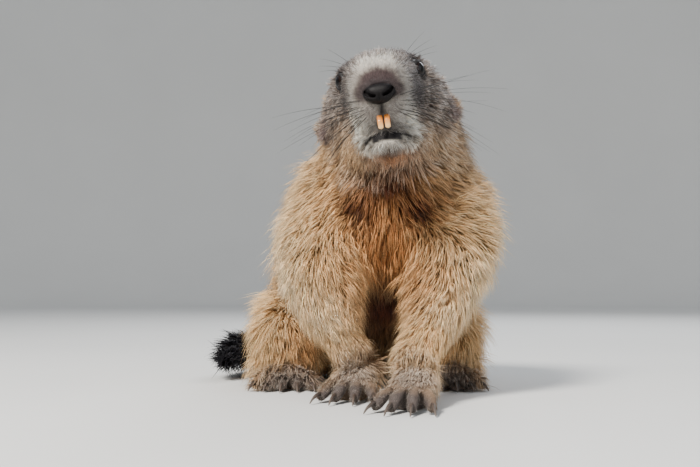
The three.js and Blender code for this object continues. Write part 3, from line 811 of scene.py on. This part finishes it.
CLUMP_STRAY = 0.8  # how far a whole clump strays off the groom, against each tuft's own stray
OWN_STRAY = 0.6
LENGTH_SPREAD = 0.13
LENGTH_LIMITS = (0.5, 1.35)
RISE_SPREAD = 0.3
RISE_LIMITS = (0.25, 2.2)
LEAST_PULL = 0.08  # share of the way that a tip is drawn to its clump's middle tip
PULL_SPREAD = 0.34
LEAST_WIDTH = 0.7
WIDTH_SPREAD = 0.6
BEND_ALONG = 0.42  # where the middle of a tuft's curve lies, in tuft lengths along the coat and out of it
BEND_OUT = 0.95
TIP_CLEAR = 0.6 * MM  # tips and bends stay this far above the floor
BEND_CLEAR = 0.9 * MM
ROOT_WIDTH = 0.42  # half widths, as a share of the tuft's width
BODY_WIDTH = 0.56
TAPER = 1.6
TUFT_CORNERS = [(-1, -0.15), (1, -0.15), (0, 0.45)]  # across and upwards, in half widths


def grow_tufts(layer, roots, normals, rng):
    """Tapered tufts as rings of three points and a tip: their points, shares along and moods."""
    lie, length, rise, _ = groom(roots)
    widths = layer_width(layer, roots, length)
    rings = layer["rings"]
    likeness = layer["likeness"]
    lie = unit(lie - (lie * normals).sum(1, keepdims=True) * normals)
    count = len(roots)
    centres = rng.choice(count, max(count // layer["clump"], 1), replace=False)
    group = nearest_of(roots, roots[centres])
    sway = rng.normal(0, 1, (len(centres), 3))
    mood = likeness * rng.random(len(centres))[group] + (1 - likeness) * rng.random(count)
    angle = layer["stray"] * (CLUMP_STRAY * sway[group, 0] + OWN_STRAY * rng.normal(0, 1, count))
    lie = turned(lie, normals, angle)
    longer = 1 + LENGTH_SPREAD * sway[group, 1] + LENGTH_SPREAD * rng.normal(0, 1, count)
    length = length * layer["length"] * np.clip(longer, *LENGTH_LIMITS)
    steeper = 1 + RISE_SPREAD * sway[group, 2] + RISE_SPREAD * rng.normal(0, 1, count)
    rise = rise * np.clip(steeper, *RISE_LIMITS)
    flat = np.cos(rise)[:, None] * lie
    out = np.sin(rise)[:, None] * normals
    tips = roots + (flat + out) * length[:, None]
    pull = (LEAST_PULL + PULL_SPREAD * rng.random(count))[:, None]
    tips += pull * (tips[centres][group] - tips)
    tips[:, 2] = np.maximum(tips[:, 2], TIP_CLEAR)
    starts = roots - normals * SINK
    bends = roots + (BEND_ALONG * flat + BEND_OUT * out) * length[:, None]
    bends[:, 2] = np.maximum(bends[:, 2], BEND_CLEAR)
    across = unit(np.cross(normals, lie))
    widths = widths * (LEAST_WIDTH + WIDTH_SPREAD * rng.random(count))
    points = np.empty((count, rings * 3 + 1, 3))
    along = np.empty(rings * 3 + 1)
    for ring in range(rings):
        t = ring / rings
        centre = (1 - t) ** 2 * starts + 2 * t * (1 - t) * bends + t * t * tips
        half = (widths * (ROOT_WIDTH if ring == 0 else BODY_WIDTH * (1 - t ** TAPER)))[:, None]
        for corner, (sideways, upward) in enumerate(TUFT_CORNERS):
            points[:, ring * 3 + corner] = centre + half * (sideways * across + upward * normals)
            along[ring * 3 + corner] = t
    points[:, -1] = tips
    along[-1] = 1
    return points, along, mood


SHADE_SPREAD = 0.16
WARM_SPREAD = 0.05
WARMER = np.array([1, 0.1, -0.9])
DARK_TIP = 0.75  # a dark tip, as a share of the colour near the skin
DARK_BODY = 0.45  # how much of the colour near the skin a dark-tipped tuft has in its body
BODY_FROM = 0.45  # share along at which a tuft has its body colour


def colour_tufts(roots, along, mood, rng, light):
    """Colours along each tuft: dark at its root, its body colour, then a pale or a dark tip."""
    marks = markings(roots)
    count = len(roots)
    dark_tip = mood < marks["dark"][:, 0]
    shade = (light * np.exp(rng.normal(0, SHADE_SPREAD, count)))[:, None]
    warm = rng.normal(0, WARM_SPREAD, count)[:, None] * WARMER
    pale = rng.random(count)[:, None]
    body = marks["body"] * shade * (1 + warm)
    under = marks["under"] * shade
    tip = marks["tip"] * pale + body * (1 - pale)
    tip = np.where(dark_tip[:, None], marks["under"] * DARK_TIP, tip)
    body = np.where(dark_tip[:, None], (1 - DARK_BODY) * body + DARK_BODY * marks["under"], body)
    colours = np.empty((count, len(along), 4))
    colours[..., 3] = 1
    for k, t in enumerate(along):
        low = ramp(np.array(t), 0.0, BODY_FROM)
        high = ramp(np.array(t), BODY_FROM, 1.0)
        colours[:, k, :3] = under + low * (body - under) + high * (tip - body)
    return np.clip(colours, 0, 1)


def tuft_faces(rings):
    faces = [(0, 2, 1)]
    for ring in range(rings - 1):
        for k in range(3):
            a, b = ring * 3 + k, ring * 3 + (k + 1) % 3
            faces += [(a, b, b + 3), (a, b + 3, a + 3)]
    top = (rings - 1) * 3
    for k in range(3):
        faces.append((top + k, top + (k + 1) % 3, rings * 3))
    return np.array(faces)


def coat_piece(name, points, colours, along, spots, rings, material):
    """One joined mesh of many tufts, with its colours and its bake map."""
    faces = tuft_faces(rings)
    count, per, _ = points.shape
    triangles = (faces[None] + (np.arange(count) * per)[:, None, None]).reshape(-1, 3)
    mesh = bpy.data.meshes.new(name)
    mesh.vertices.add(count * per)
    mesh.vertices.foreach_set("co", points.ravel())
    mesh.loops.add(len(triangles) * 3)
    mesh.loops.foreach_set("vertex_index", triangles.ravel())
    mesh.polygons.add(len(triangles))
    mesh.polygons.foreach_set("loop_start", np.arange(len(triangles)) * 3)
    tint = mesh.color_attributes.new("coat_colour", "FLOAT_COLOR", "POINT")
    tint.data.foreach_set("color", colours.ravel())
    sideways = np.tile([-1, 1, 0], rings).tolist() + [0]
    offset = np.stack([np.array(sideways), 2 * along - 1], 1) * PATCH / 2
    uv = (spots[:, None] + offset[None]).reshape(-1, 2)[triangles.ravel()]
    layer = mesh.uv_layers.new(name="OFBake")
    layer.data.foreach_set("uv", uv.ravel())
    mesh.update(calc_edges=True)
    mesh.validate()
    mesh.materials.append(material)
    piece = add_object(name, mesh)
    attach(piece, "root")
    return piece


# Bounds between the coat's zones, in millimetres; those of the head are in its own frame
CHEST_BACK = -60
HAUNCH_TOP = 75
FORELEG_TOP = 120
FORELEG_BACK = -112
HEAD_BACK = -50
HEAD_UNDERSIDE = -74
TAIL_REACH = 20
TAIL_SIDE = -24
TAIL_FRONT = -24


def zone_of(roots):
    """A short name of the part of the body that each root grows on."""
    head = head_frame(roots)
    x, y, z = (roots / MM).T
    zones = np.full(len(roots), "back", dtype="<U10")
    zones[y < CHEST_BACK] = "chest"
    zones[z < HAUNCH_TOP] = "haunches"
    zones[(z < FORELEG_TOP) & (y < FORELEG_BACK)] = "forelegs"
    zones[(head[:, 1] > HEAD_BACK) & (head[:, 2] > HEAD_UNDERSIDE)] = "head"
    zones[(tail_share(roots)[1] < TAIL_REACH * MM) & (x < TAIL_SIDE) & (y > TAIL_FRONT)] = "tail"
    return zones


# Layers of the coat: tufts on a square centimetre where the coat has this length in millimetres

def fine_density(length):
    return 330 * (1 - ramp(length, 5.5, 9))


def under_density(length):
    return ramp(length, 4.5, 7.5) * (60 + 56 * (1 - ramp(length, 9, 18)))


def guard_density(length):
    return 18 * ramp(length, 6, 13)


# Width, number of rings and tufts to a clump; stray off the groom; length and light as shares of the usual;
# and how alike the tufts of a clump are coloured
COATS = {
    "fine": dict(
        density=fine_density, width=0.44 * MM, rings=1, clump=10, stray=0.2,
        length=1.0, light=1.0, likeness=0.3,
    ),
    "under": dict(
        density=under_density, width=0.78 * MM, rings=2, clump=14, stray=0.17,
        length=0.9, light=1.0, likeness=0.55,
    ),
    "guard": dict(
        density=guard_density, width=0.6 * MM, rings=2, clump=8, stray=0.26,
        length=1.12, light=1.12, likeness=0.55,
    ),
}

# The hind half has fewer and wider tufts
HIND_FROM = -80 * MM
HIND_FULL = -40 * MM
HIND_FEWER = 0.34
HIND_WIDER = 0.26

# Tufts are narrower where the coat is short
FULL_LENGTH = 22 * MM
NARROWEST = 0.42
WIDEST = 1.15

# Fewer tufts grow where nothing can look at them, as between the legs
HIDDEN_SHARE = 0.2
HIDDEN = 0.06
OPEN = 0.36

# Bare places: soles, lips, nose and the rims of the eyes
SEAT_HEIGHT = 3 * MM
SOLE_HEIGHT = 1.2 * MM
FOREPAWS_BACK = -140 * MM
BARE_LIP = 0.55
EYE_RIM = 1.1
BARE_NOSE = 0.42


def hind_share(points):
    """0 on the front of the animal, 1 on its hind half."""
    return ramp(points[:, 1], HIND_FROM, HIND_FULL)


def layer_width(layer, roots, length):
    share = NARROWEST + (1 - NARROWEST) * length / FULL_LENGTH
    return layer["width"] * np.clip(share, NARROWEST, WIDEST) * (1 + HIND_WIDER * hind_share(roots))


def bare_places(points):
    head = head_frame(points)
    bare = (points[:, 2] < SEAT_HEIGHT) & (points[:, 1] > FOREPAWS_BACK)
    bare |= points[:, 2] < SOLE_HEIGHT
    bare |= lips(head) > BARE_LIP
    for side in SIDES:
        away = np.linalg.norm(points - np.array(EYE_SPOTS[side]), axis=1)
        bare |= away < EYE_RADIUS * EYE_RIM
    bare |= blob(head, (0, 52, -21), (11, 7, 6)) > BARE_NOSE
    return bare


def coat_density(layer, openness, points):
    """Tufts on a square centimetre at each point."""
    amount = layer["density"](groom(points)[1] / MM)
    seen = ramp(openness_at(openness, points), HIDDEN, OPEN)
    amount = amount * (HIDDEN_SHARE + (1 - HIDDEN_SHARE) * seen)
    amount = amount * (1 - HIND_FEWER * hind_share(points))
    return np.where(bare_places(points), 0, amount)


def make_coat(skins, material):
    coarse = coarse_copy(skins)
    openness = openness_of(coarse)
    bake_map = bake_map_of(coarse)
    bpy.data.objects.remove(coarse)
    rng = np.random.default_rng(RANDOM_SEED)
    for layer_name, layer in COATS.items():
        roots, normals = sample_roots(skins, layer, openness, rng)
        points, along, mood = grow_tufts(layer, roots, normals, rng)
        colours = colour_tufts(roots, along, mood, rng, layer["light"])
        spots = places_on_map(bake_map, roots)
        zones = zone_of(roots)
        per_tuft = len(tuft_faces(layer["rings"]))
        for zone in sorted(set(zones)):
            chosen = np.flatnonzero(zones == zone)
            parts = math.ceil(len(chosen) * per_tuft / PIECE_LIMIT)
            for number, part in enumerate(np.array_split(chosen, parts)):
                coat_piece(
                    f"coat_{layer_name}_{zone}_{number + 1}", points[part], colours[part], along,
                    spots[part], layer["rings"], material,
                )


# Materials

def new_material(name):
    material = bpy.data.materials.new(name)
    material.use_nodes = True
    nodes = material.node_tree.nodes
    return material, nodes, material.node_tree.links, nodes["Principled BSDF"]


def grain_group():
    """Fine uneven grain: varies a colour and gives a height."""
    group = bpy.data.node_groups.new("fine_grain", "ShaderNodeTree")
    sockets = [
        ("INPUT", "Colour", "NodeSocketColor"), ("INPUT", "Size", "NodeSocketFloat"),
        ("INPUT", "Strength", "NodeSocketFloat"),
        ("OUTPUT", "Colour", "NodeSocketColor"), ("OUTPUT", "Height", "NodeSocketFloat"),
    ]
    for way, name, kind in sockets:
        group.interface.new_socket(name, in_out=way, socket_type=kind)
    nodes, links = group.nodes, group.links
    start, end = nodes.new("NodeGroupInput"), nodes.new("NodeGroupOutput")
    place = nodes.new("ShaderNodeTexCoord")
    noise = nodes.new("ShaderNodeTexNoise")
    noise.inputs["Detail"].default_value = 6
    links.new(place.outputs["Object"], noise.inputs["Vector"])
    links.new(start.outputs["Size"], noise.inputs["Scale"])
    spread = nodes.new("ShaderNodeMapRange")
    spread.inputs["From Min"].default_value = 0.3
    spread.inputs["From Max"].default_value = 0.7
    spread.inputs["To Min"].default_value = -1
    links.new(noise.outputs["Fac"], spread.inputs["Value"])
    amount = nodes.new("ShaderNodeMath")
    amount.operation = "MULTIPLY_ADD"
    amount.inputs[2].default_value = 1
    links.new(spread.outputs["Result"], amount.inputs[0])
    links.new(start.outputs["Strength"], amount.inputs[1])
    scaled = nodes.new("ShaderNodeVectorMath")
    scaled.operation = "SCALE"
    links.new(start.outputs["Colour"], scaled.inputs[0])
    links.new(amount.outputs[0], scaled.inputs["Scale"])
    links.new(scaled.outputs[0], end.inputs["Colour"])
    links.new(noise.outputs["Fac"], end.inputs["Height"])
    return group


GRAIN = grain_group()


def grained(material_parts, colour_source, size, strength, bump, depth):
    """Feeds a material's colour through the grain, and its height to a bump."""
    _, nodes, links, shader = material_parts
    grain = nodes.new("ShaderNodeGroup")
    grain.node_tree = GRAIN
    grain.inputs["Size"].default_value = size
    grain.inputs["Strength"].default_value = strength
    if isinstance(colour_source, bpy.types.NodeSocket):
        links.new(colour_source, grain.inputs["Colour"])
    else:
        grain.inputs["Colour"].default_value = (*colour_source, 1)
    links.new(grain.outputs["Colour"], shader.inputs["Base Color"])
    if bump:
        height = nodes.new("ShaderNodeBump")
        height.inputs["Strength"].default_value = bump
        height.inputs["Distance"].default_value = depth
        links.new(grain.outputs["Height"], height.inputs["Height"])
        links.new(height.outputs["Normal"], shader.inputs["Normal"])
    return grain


def tinted_material(name, size, strength, bump, depth, roughness, gloss):
    """A material that takes its colour from the piece's own markings."""
    parts = new_material(name)
    material, nodes, _, shader = parts
    tint = nodes.new("ShaderNodeAttribute")
    tint.attribute_name = "coat_colour"
    grained(parts, tint.outputs["Color"], size, strength, bump, depth)
    shader.inputs["Roughness"].default_value = roughness
    shader.inputs["Specular IOR Level"].default_value = gloss
    return material


def plain_material(name, colour, roughness, size, strength, bump, depth, gloss=0.3):
    parts = new_material(name)
    shader = parts[3]
    grained(parts, tuple(srgb(*colour)), size, strength, bump, depth)
    shader.inputs["Roughness"].default_value = roughness
    shader.inputs["Specular IOR Level"].default_value = gloss
    return parts[0]


def colours_along(material_parts, attribute, stops):
    """A colour that follows a value kept at the piece's points. Each stop is a value and its colour."""
    _, nodes, links, _ = material_parts
    value = nodes.new("ShaderNodeAttribute")
    value.attribute_name = attribute
    colours = nodes.new("ShaderNodeValToRGB")
    elements = colours.color_ramp.elements
    elements[0].position = stops[0][0]
    elements[1].position = stops[-1][0]
    for position, _ in stops[1:-1]:
        elements.new(position)
    for element, (_, colour) in zip(elements, stops):
        element.color = (*srgb(*colour), 1)
    links.new(value.outputs["Fac"], colours.inputs["Fac"])
    return colours.outputs["Color"]


def claw_material():
    """Dark horn, paler and worn towards the tip, with fine uneven grain."""
    parts = new_material("claw_horn")
    colours = colours_along(parts, "along", [(0, (34, 28, 27)), (1, (92, 80, 72))])
    grained(parts, colours, size=700, strength=0.3, bump=0.25, depth=0.2 * MM)
    parts[3].inputs["Roughness"].default_value = 0.34
    return parts[0]


def tooth_material():
    """Orange enamel, darker at the gum and pale at the cutting edge."""
    parts = new_material("tooth_enamel")
    stops = [(0, (176, 98, 40)), (0.62, (200, 124, 54)), (1, (226, 184, 126))]
    grained(parts, colours_along(parts, "along", stops), size=500, strength=0.1, bump=0.1, depth=0.2 * MM)
    parts[3].inputs["Roughness"].default_value = 0.22
    parts[3].inputs["Coat Weight"].default_value = 0.5
    return parts[0]


def eye_material():
    """A nearly black eye: pupil, dark brown iris and dark rim under a wet surface."""
    parts = new_material("eye_wet")
    stops = [(0.26, (6, 5, 5)), (0.34, (26, 16, 12)), (0.6, (14, 9, 8))]
    grained(parts, colours_along(parts, "iris", stops), size=1600, strength=0.25, bump=0, depth=0)
    parts[3].inputs["Roughness"].default_value = 0.05
    parts[3].inputs["Specular IOR Level"].default_value = 0.2
    return parts[0]


# Pieces besides skin and coat

def set_values(piece, name, values):
    attribute = piece.data.attributes.new(name, "FLOAT", "POINT")
    attribute.data.foreach_set("value", np.asarray(values, np.float32))


def settle(piece, material, slot, *replaced):
    piece.data.materials.clear()
    piece.data.materials.append(material)
    activate(piece)
    bpy.ops.object.shade_smooth()
    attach(piece, "root")
    if replaced:
        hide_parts(*replaced)


EAR_VOXEL = 0.6 * MM
TOOTH_VOXEL = 0.35 * MM


def refined(node, name, voxel, rounds):
    """A node's own shape, finer and without its facets."""
    piece = copy_of_node(node, name)
    apply_modifier(piece, "SUBSURF", subdivision_type="SIMPLE", levels=2, render_levels=2)
    apply_modifier(piece, "REMESH", mode="VOXEL", voxel_size=voxel)
    mesh = piece.data
    set_points(mesh, smooth_values(edges_of(mesh), points_of(mesh), rounds))
    return piece


LOOK_FORWARD = math.radians(30)
LOOK_UP = 0.06
EYEBALL = 0.985  # the eyeball's radius, as a share of the solid's
CORNEA = 0.04
CORNEA_SPREAD = 0.55
LID_WIDE = math.radians(47)
LID_TALL = math.radians(40)
LID_TURNS = 56
LID_POINTED = 0.16
# Share of the opening and height in eye radii, from inside the lid's edge out over brow and cheek
LID_ROWS = [(0.9, 0.985), (0.92, 1.04), (0.98, 1.08), (1.1, 1.09), (1.3, 1.05), (1.6, 0.97)]
LID_THICKNESS = 0.5 * MM


def look_of(side):
    """The way an eye looks, in the head's frame: out to its side and a little forwards."""
    return np.array([SIDES[side] * math.cos(LOOK_FORWARD), math.sin(LOOK_FORWARD), LOOK_UP])


def make_eye(side, material):
    bpy.ops.mesh.primitive_uv_sphere_add(segments=64, ring_count=40, radius=EYE_RADIUS * EYEBALL)
    eye = bpy.context.object
    eye.name = "eyeball_" + side
    mesh = eye.data
    look = unit(from_head(look_of(side), True))
    points = points_of(mesh)
    turn = np.arccos(np.clip(unit(points) @ look, -1, 1))
    points *= (1 + CORNEA * np.exp(-(turn / CORNEA_SPREAD) ** 2))[:, None]
    set_points(mesh, points + np.array(EYE_SPOTS[side]))
    set_values(eye, "iris", turn / math.pi * 2)
    settle(eye, material, "eye_dark", "eye_" + side)


def lid_rows(side):
    """Rings of points round the eye's almond opening, from inside its edge out over the brow and cheek."""
    look = unit(look_of(side))
    up = np.array([0, 0, 1.0])
    across = unit(np.cross(up, look))
    up = np.cross(look, across)
    turns = np.linspace(0, 2 * np.pi, LID_TURNS, endpoint=False)
    rows = []
    for open_share, height in LID_ROWS:
        x = LID_WIDE * open_share * np.cos(turns)
        y = LID_TALL * open_share * np.sin(turns) * (1 - LID_POINTED * np.cos(turns) ** 2)
        angle = np.hypot(x, y)
        way = (
            np.cos(angle)[:, None] * look
            + (np.sin(angle) * x / angle)[:, None] * across
            + (np.sin(angle) * y / angle)[:, None] * up
        )
        rows.append(way * EYE_RADIUS / MM * height)
    return rows


def make_lids(side, material):
    rows = lid_rows(side)
    spot = head_frame(np.array([EYE_SPOTS[side]]))[0]
    points = np.concatenate([from_head(row + spot) for row in rows])
    faces = []
    for row in range(len(rows) - 1):
        faces += ring_faces(row * LID_TURNS, (row + 1) * LID_TURNS, LID_TURNS)
    lids = mesh_of("eyelids_" + side, points.tolist(), faces)
    outward = sum(face.normal.dot(face.center - EYE_SPOTS[side]) for face in lids.data.polygons)
    if outward < 0:
        lids.data.flip_normals()
    apply_modifier(lids, "SOLIDIFY", thickness=LID_THICKNESS, offset=-1)
    apply_modifier(lids, "SUBSURF", levels=1, render_levels=1)
    settle(lids, material, "nose_skin")


def make_claws(material):
    for node in sorted(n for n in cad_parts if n.startswith("claw")):
        claw = copy_of_node(node, node.replace("claw", "horn"))
        apply_modifier(claw, "SUBSURF", levels=2, render_levels=2)
        points = points_of(claw.data)
        run = -points[:, 1]
        set_values(claw, "along", (run - run.min()) / np.ptp(run))
        settle(claw, material, "claw_horn", node)


def make_teeth(material):
    for side in SIDES:
        tooth = refined("incisor_" + side, "tooth_" + side, TOOTH_VOXEL, 3)
        height = head_frame(points_of(tooth.data))[:, 2]
        set_values(tooth, "along", (height.max() - height) / np.ptp(height))
        settle(tooth, material, "tooth_enamel", "incisor_" + side)


NOSE_SPOT = np.array([0, 47.2, -22])
NOSE_HALF = np.array([11, 7.2, 6.4])
NOSE_SQUARE = 0.82  # 1 is an ellipsoid, and less is squarer
NOSE_NARROWS = 0.3  # towards its underside
NOSTRIL = np.array([(3.2, -2.0), (5.6, -1.2), (7.8, 0.3), (9.2, 2.4)])  # across and up from the middle
NOSTRIL_HALF_WIDTHS = (0.8, 1.4)  # at its inner and outer end
NOSTRIL_DEPTH = 4.6
GROOVE_HALF_WIDTH = 0.55
GROOVE_DEPTH = 1.4


def make_nose(material):
    """Nose leather: a broad pad with two comma-shaped nostrils and a groove down to the lip."""
    bpy.ops.mesh.primitive_uv_sphere_add(segments=128, ring_count=80, radius=1)
    nose = bpy.context.object
    nose.name = "nose"
    mesh = nose.data
    ball = points_of(mesh)
    across, forward, up = (np.sign(ball) * np.abs(ball) ** NOSE_SQUARE * NOSE_HALF).T
    across = across * (1 - NOSE_NARROWS * ramp(-up, -1, 6))
    front = ramp(forward, 0, 4)
    knots = np.arange(len(NOSTRIL))
    fine = np.linspace(0, knots[-1], 8 * knots[-1] + 1)
    line = np.stack([np.interp(fine, knots, NOSTRIL[:, k]) for k in range(2)], 1)
    width = np.interp(fine, [0, knots[-1]], NOSTRIL_HALF_WIDTHS)
    for side in SIDES.values():
        away = np.hypot(across[:, None] * side - line[:, 0], up[:, None] - line[:, 1])
        forward = forward - NOSTRIL_DEPTH * front * np.exp(-(away / width).min(1) ** 2)
    groove = np.exp(-(across / GROOVE_HALF_WIDTH) ** 2) * ramp(-up, 0, 2.5)
    forward = forward - GROOVE_DEPTH * front * groove
    set_points(mesh, from_head(np.column_stack([across, forward, up]) + NOSE_SPOT))
    activate(nose)
    bpy.ops.object.mode_set(mode="EDIT")
    bpy.ops.mesh.select_all(action="SELECT")
    bpy.ops.mesh.normals_make_consistent(inside=False)
    bpy.ops.object.mode_set(mode="OBJECT")
    settle(nose, material, "nose_skin", "nose_pad")


HAIR_THINS = 0.85
HAIR_TAPER = 1.3


def hair(line, radius):
    """Three-sided tapering hair along a smooth line: its points and faces."""
    steps = len(line)
    along = unit(np.gradient(line, axis=0))
    across = unit(np.cross(along, np.array([0.1, 0.2, 1.0])))
    above = np.cross(across, along)
    points = []
    for i in range(steps):
        thin = radius * (1 - HAIR_THINS * (i / (steps - 1)) ** HAIR_TAPER)
        for k in range(3):
            turn = 2 * math.pi * k / 3
            points.append(line[i] + thin * (math.cos(turn) * across[i] + math.sin(turn) * above[i]))
    faces = [(0, 1, 2)]
    for i in range(steps - 1):
        for k in range(3):
            a, b = i * 3 + k, i * 3 + (k + 1) % 3
            faces.append((a, a + 3, b + 3, b))
    last = (steps - 1) * 3
    faces.append((last, last + 2, last + 1))
    return points, faces


WHISKER_STEPS = 12
WHISKER_SINK = 1.5
WHISKER_BACK = -0.12  # how far the tip is swept back, in whisker lengths
LIP_ROWS = 5
LIP_COLUMNS = 4
LIP_PLACE = (13, 43, -24)  # the front top whisker's
LIP_COLUMN_STEP = (3.1, 4.4)  # outwards and backwards
LIP_ROW_STEP = 3.4
BROW_HAIRS = 4
CHEEK_HAIRS = 3


def whisker_roots(rng):
    """Root, way, droop, length and radius of each whisker, in the head's frame."""
    for side in SIDES.values():
        for row in range(LIP_ROWS):
            for column in range(LIP_COLUMNS):
                root = (
                    side * (LIP_PLACE[0] + LIP_COLUMN_STEP[0] * column),
                    LIP_PLACE[1] - LIP_COLUMN_STEP[1] * column,
                    LIP_PLACE[2] - LIP_ROW_STEP * row + rng.normal(0, 0.5),
                )
                way = (
                    side * (1 + 0.1 * rng.normal()),
                    -0.25 - 0.12 * column + 0.12 * rng.normal(),
                    0.22 - 0.2 * row + 0.1 * rng.normal(),
                )
                length = (44 + 13 * column + 8 * rng.normal()) * (1 - 0.06 * row)
                yield root, way, -0.12 + 0.05 * rng.normal(), length, 0.24
        for k in range(BROW_HAIRS):
            root = (side * (22 + 1.6 * k), 4 - 3 * k, 15 - 1.2 * k)
            way = (side * (0.7 + 0.3 * k), -0.2, 0.8 - 0.12 * k)
            yield root, way, -0.1, 27 - 2 * k, 0.17
        for k in range(CHEEK_HAIRS):
            root = (side * (34 + k), -2 - 6 * k, -22 - 4 * k)
            yield root, (side, -0.3, -0.3 - 0.1 * k), -0.1, 34, 0.18


def make_whiskers(material, skin):
    """Long stiff hairs, each rooted in the skin."""
    rng = np.random.default_rng(RANDOM_SEED + 1)
    tree = BVHTree.FromObject(skin, bpy.context.evaluated_depsgraph_get())
    steps = np.linspace(0, 1, WHISKER_STEPS)[:, None]
    points, faces = [], []
    for root, way, droop, length, radius in whisker_roots(rng):
        start = np.array(tree.find_nearest(from_head(root))[0])
        way = unit(np.array(way, float))
        local = steps * length * way + steps ** 2 * length * np.array([0, WHISKER_BACK, droop])
        line = start - from_head(way * WHISKER_SINK, True) * MM + from_head(local, True) * MM
        hair_points, hair_faces = hair(line, radius * MM)
        faces.extend(tuple(i + len(points) for i in face) for face in hair_faces)
        points.extend(hair_points)
    whiskers = mesh_of("whiskers", [tuple(p) for p in points], faces)
    settle(whiskers, material, "claw_horn")


# Stage

STAGE_RADIUS = 4.0
STAGE_BEND = 0.9
STAGE_HEIGHT = 1.7
BEND_STEPS = 12
STAGE_AROUND = 96


def make_stage():
    """A pale floor that curves up into a wall all round."""
    profile = [(0.0, 0.0), (STAGE_RADIUS - STAGE_BEND, 0.0)]
    for k in range(1, BEND_STEPS + 1):
        turn = math.pi / 2 * k / BEND_STEPS
        out = STAGE_RADIUS - STAGE_BEND + STAGE_BEND * math.sin(turn)
        profile.append((out, STAGE_BEND * (1 - math.cos(turn))))
    profile.append((STAGE_RADIUS, STAGE_HEIGHT))
    verts, faces = [], []
    for radius, height in profile:
        for k in range(STAGE_AROUND):
            turn = 2 * math.pi * k / STAGE_AROUND
            verts.append((radius * math.cos(turn), radius * math.sin(turn), height))
    for ring in range(len(profile) - 1):
        faces += ring_faces(ring * STAGE_AROUND, (ring + 1) * STAGE_AROUND, STAGE_AROUND)
    mesh = bpy.data.meshes.new("floor")
    mesh.from_pydata(verts, [], faces)
    floor = add_object("floor", mesh)
    paper = plain_material(
        "floor_paper", (206, 206, 204), roughness=0.85, size=3, strength=0.02, bump=0, depth=0,
    )
    floor.data.materials.append(paper)
    activate(floor)
    bpy.ops.object.mode_set(mode="EDIT")
    bpy.ops.mesh.select_all(action="SELECT")
    bpy.ops.mesh.remove_doubles(threshold=MERGE)
    bpy.ops.object.mode_set(mode="OBJECT")
    bpy.ops.object.shade_smooth()


def add_light(name, spot, aim, size, power, colour):
    light = bpy.data.lights.new(name, "AREA")
    light.size = size
    light.energy = power
    light.color = colour
    lamp = bpy.data.objects.new(name, light)
    bpy.context.scene.collection.objects.link(lamp)
    lamp.location = spot
    lamp.rotation_euler = (Vector(aim) - Vector(spot)).to_track_quat("-Z", "Y").to_euler()


def make_lights():
    aim = (0, -0.1, 0.12)
    add_light("key", (-0.8, -1.3, 1.5), aim, 0.45, 92, (1.0, 0.96, 0.9))
    add_light("fill", (1.4, -1.2, 0.7), aim, 1.6, 12, (0.86, 0.92, 1.0))
    add_light("rim", (0.5, 1.3, 1.3), aim, 0.9, 20, (0.95, 0.97, 1.0))
    world = bpy.data.worlds.new("studio")
    world.use_nodes = True
    sky = world.node_tree.nodes["Background"]
    sky.inputs["Color"].default_value = (0.86, 0.92, 1.0, 1)
    sky.inputs["Strength"].default_value = 0.56
    bpy.context.scene.world = world


def make_camera():
    data = bpy.data.cameras.new("camera")
    data.sensor_width = SENSOR
    data.lens = FOCAL_IN_WIDTHS * SENSOR
    data.clip_start = 0.02
    camera = bpy.data.objects.new("camera", data)
    bpy.context.scene.collection.objects.link(camera)
    camera.location = CAMERA_SPOT
    camera.rotation_euler = (math.pi / 2 + CAMERA_RISE, 0, 0)
    bpy.context.scene.camera = camera


# Assembly

make_camera()
make_stage()
make_lights()

skin = make_skin()
paws = {name: make_paw(name + "_skin", *sizes) for name, sizes in PAW_PLACES.items()}
ears = {"ear_" + side: refined("ear_" + side, "ear_skin_" + side, EAR_VOXEL, 4) for side in SIDES}
skin_look = tinted_material(
    "skin_under_coat", size=1400, strength=0.35, bump=0.5, depth=0.4 * MM, roughness=0.75, gloss=0.25,
)
tint_skin(skin)
settle(skin, skin_look, "tawny_fur", *FLESH, *TAIL_NODES)
for name, paw in paws.items():
    tint_skin(paw)
    settle(paw, skin_look, "paw_skin", name)
for name, ear in ears.items():
    tint_skin(ear)
    settle(ear, skin_look, "grey_fur", name)
skins = [skin, *paws.values(), *ears.values()]

coat_look = tinted_material("coat", size=900, strength=0.12, bump=0, depth=0, roughness=0.5, gloss=0.28)
make_coat(skins, coat_look)
dark_skin = plain_material(
    "eyelid_skin", (15, 11, 11), roughness=0.6, size=1500, strength=0.3, bump=0.4, depth=0.2 * MM,
)
for eye_side in SIDES:
    make_eye(eye_side, eye_material())
    make_lids(eye_side, dark_skin)
nose_leather = plain_material(
    "nose_leather", (12, 9, 10), roughness=0.5, size=1800, strength=0.4, bump=0.8, depth=0.3 * MM,
    gloss=0.14,
)
make_nose(nose_leather)
make_teeth(tooth_material())
make_claws(claw_material())
whisker_look = plain_material(
    "whisker_hair", (16, 14, 14), roughness=0.4, size=800, strength=0.2, bump=0, depth=0,
)
make_whiskers(whisker_look, skin)

bpy.context.view_layer.update()
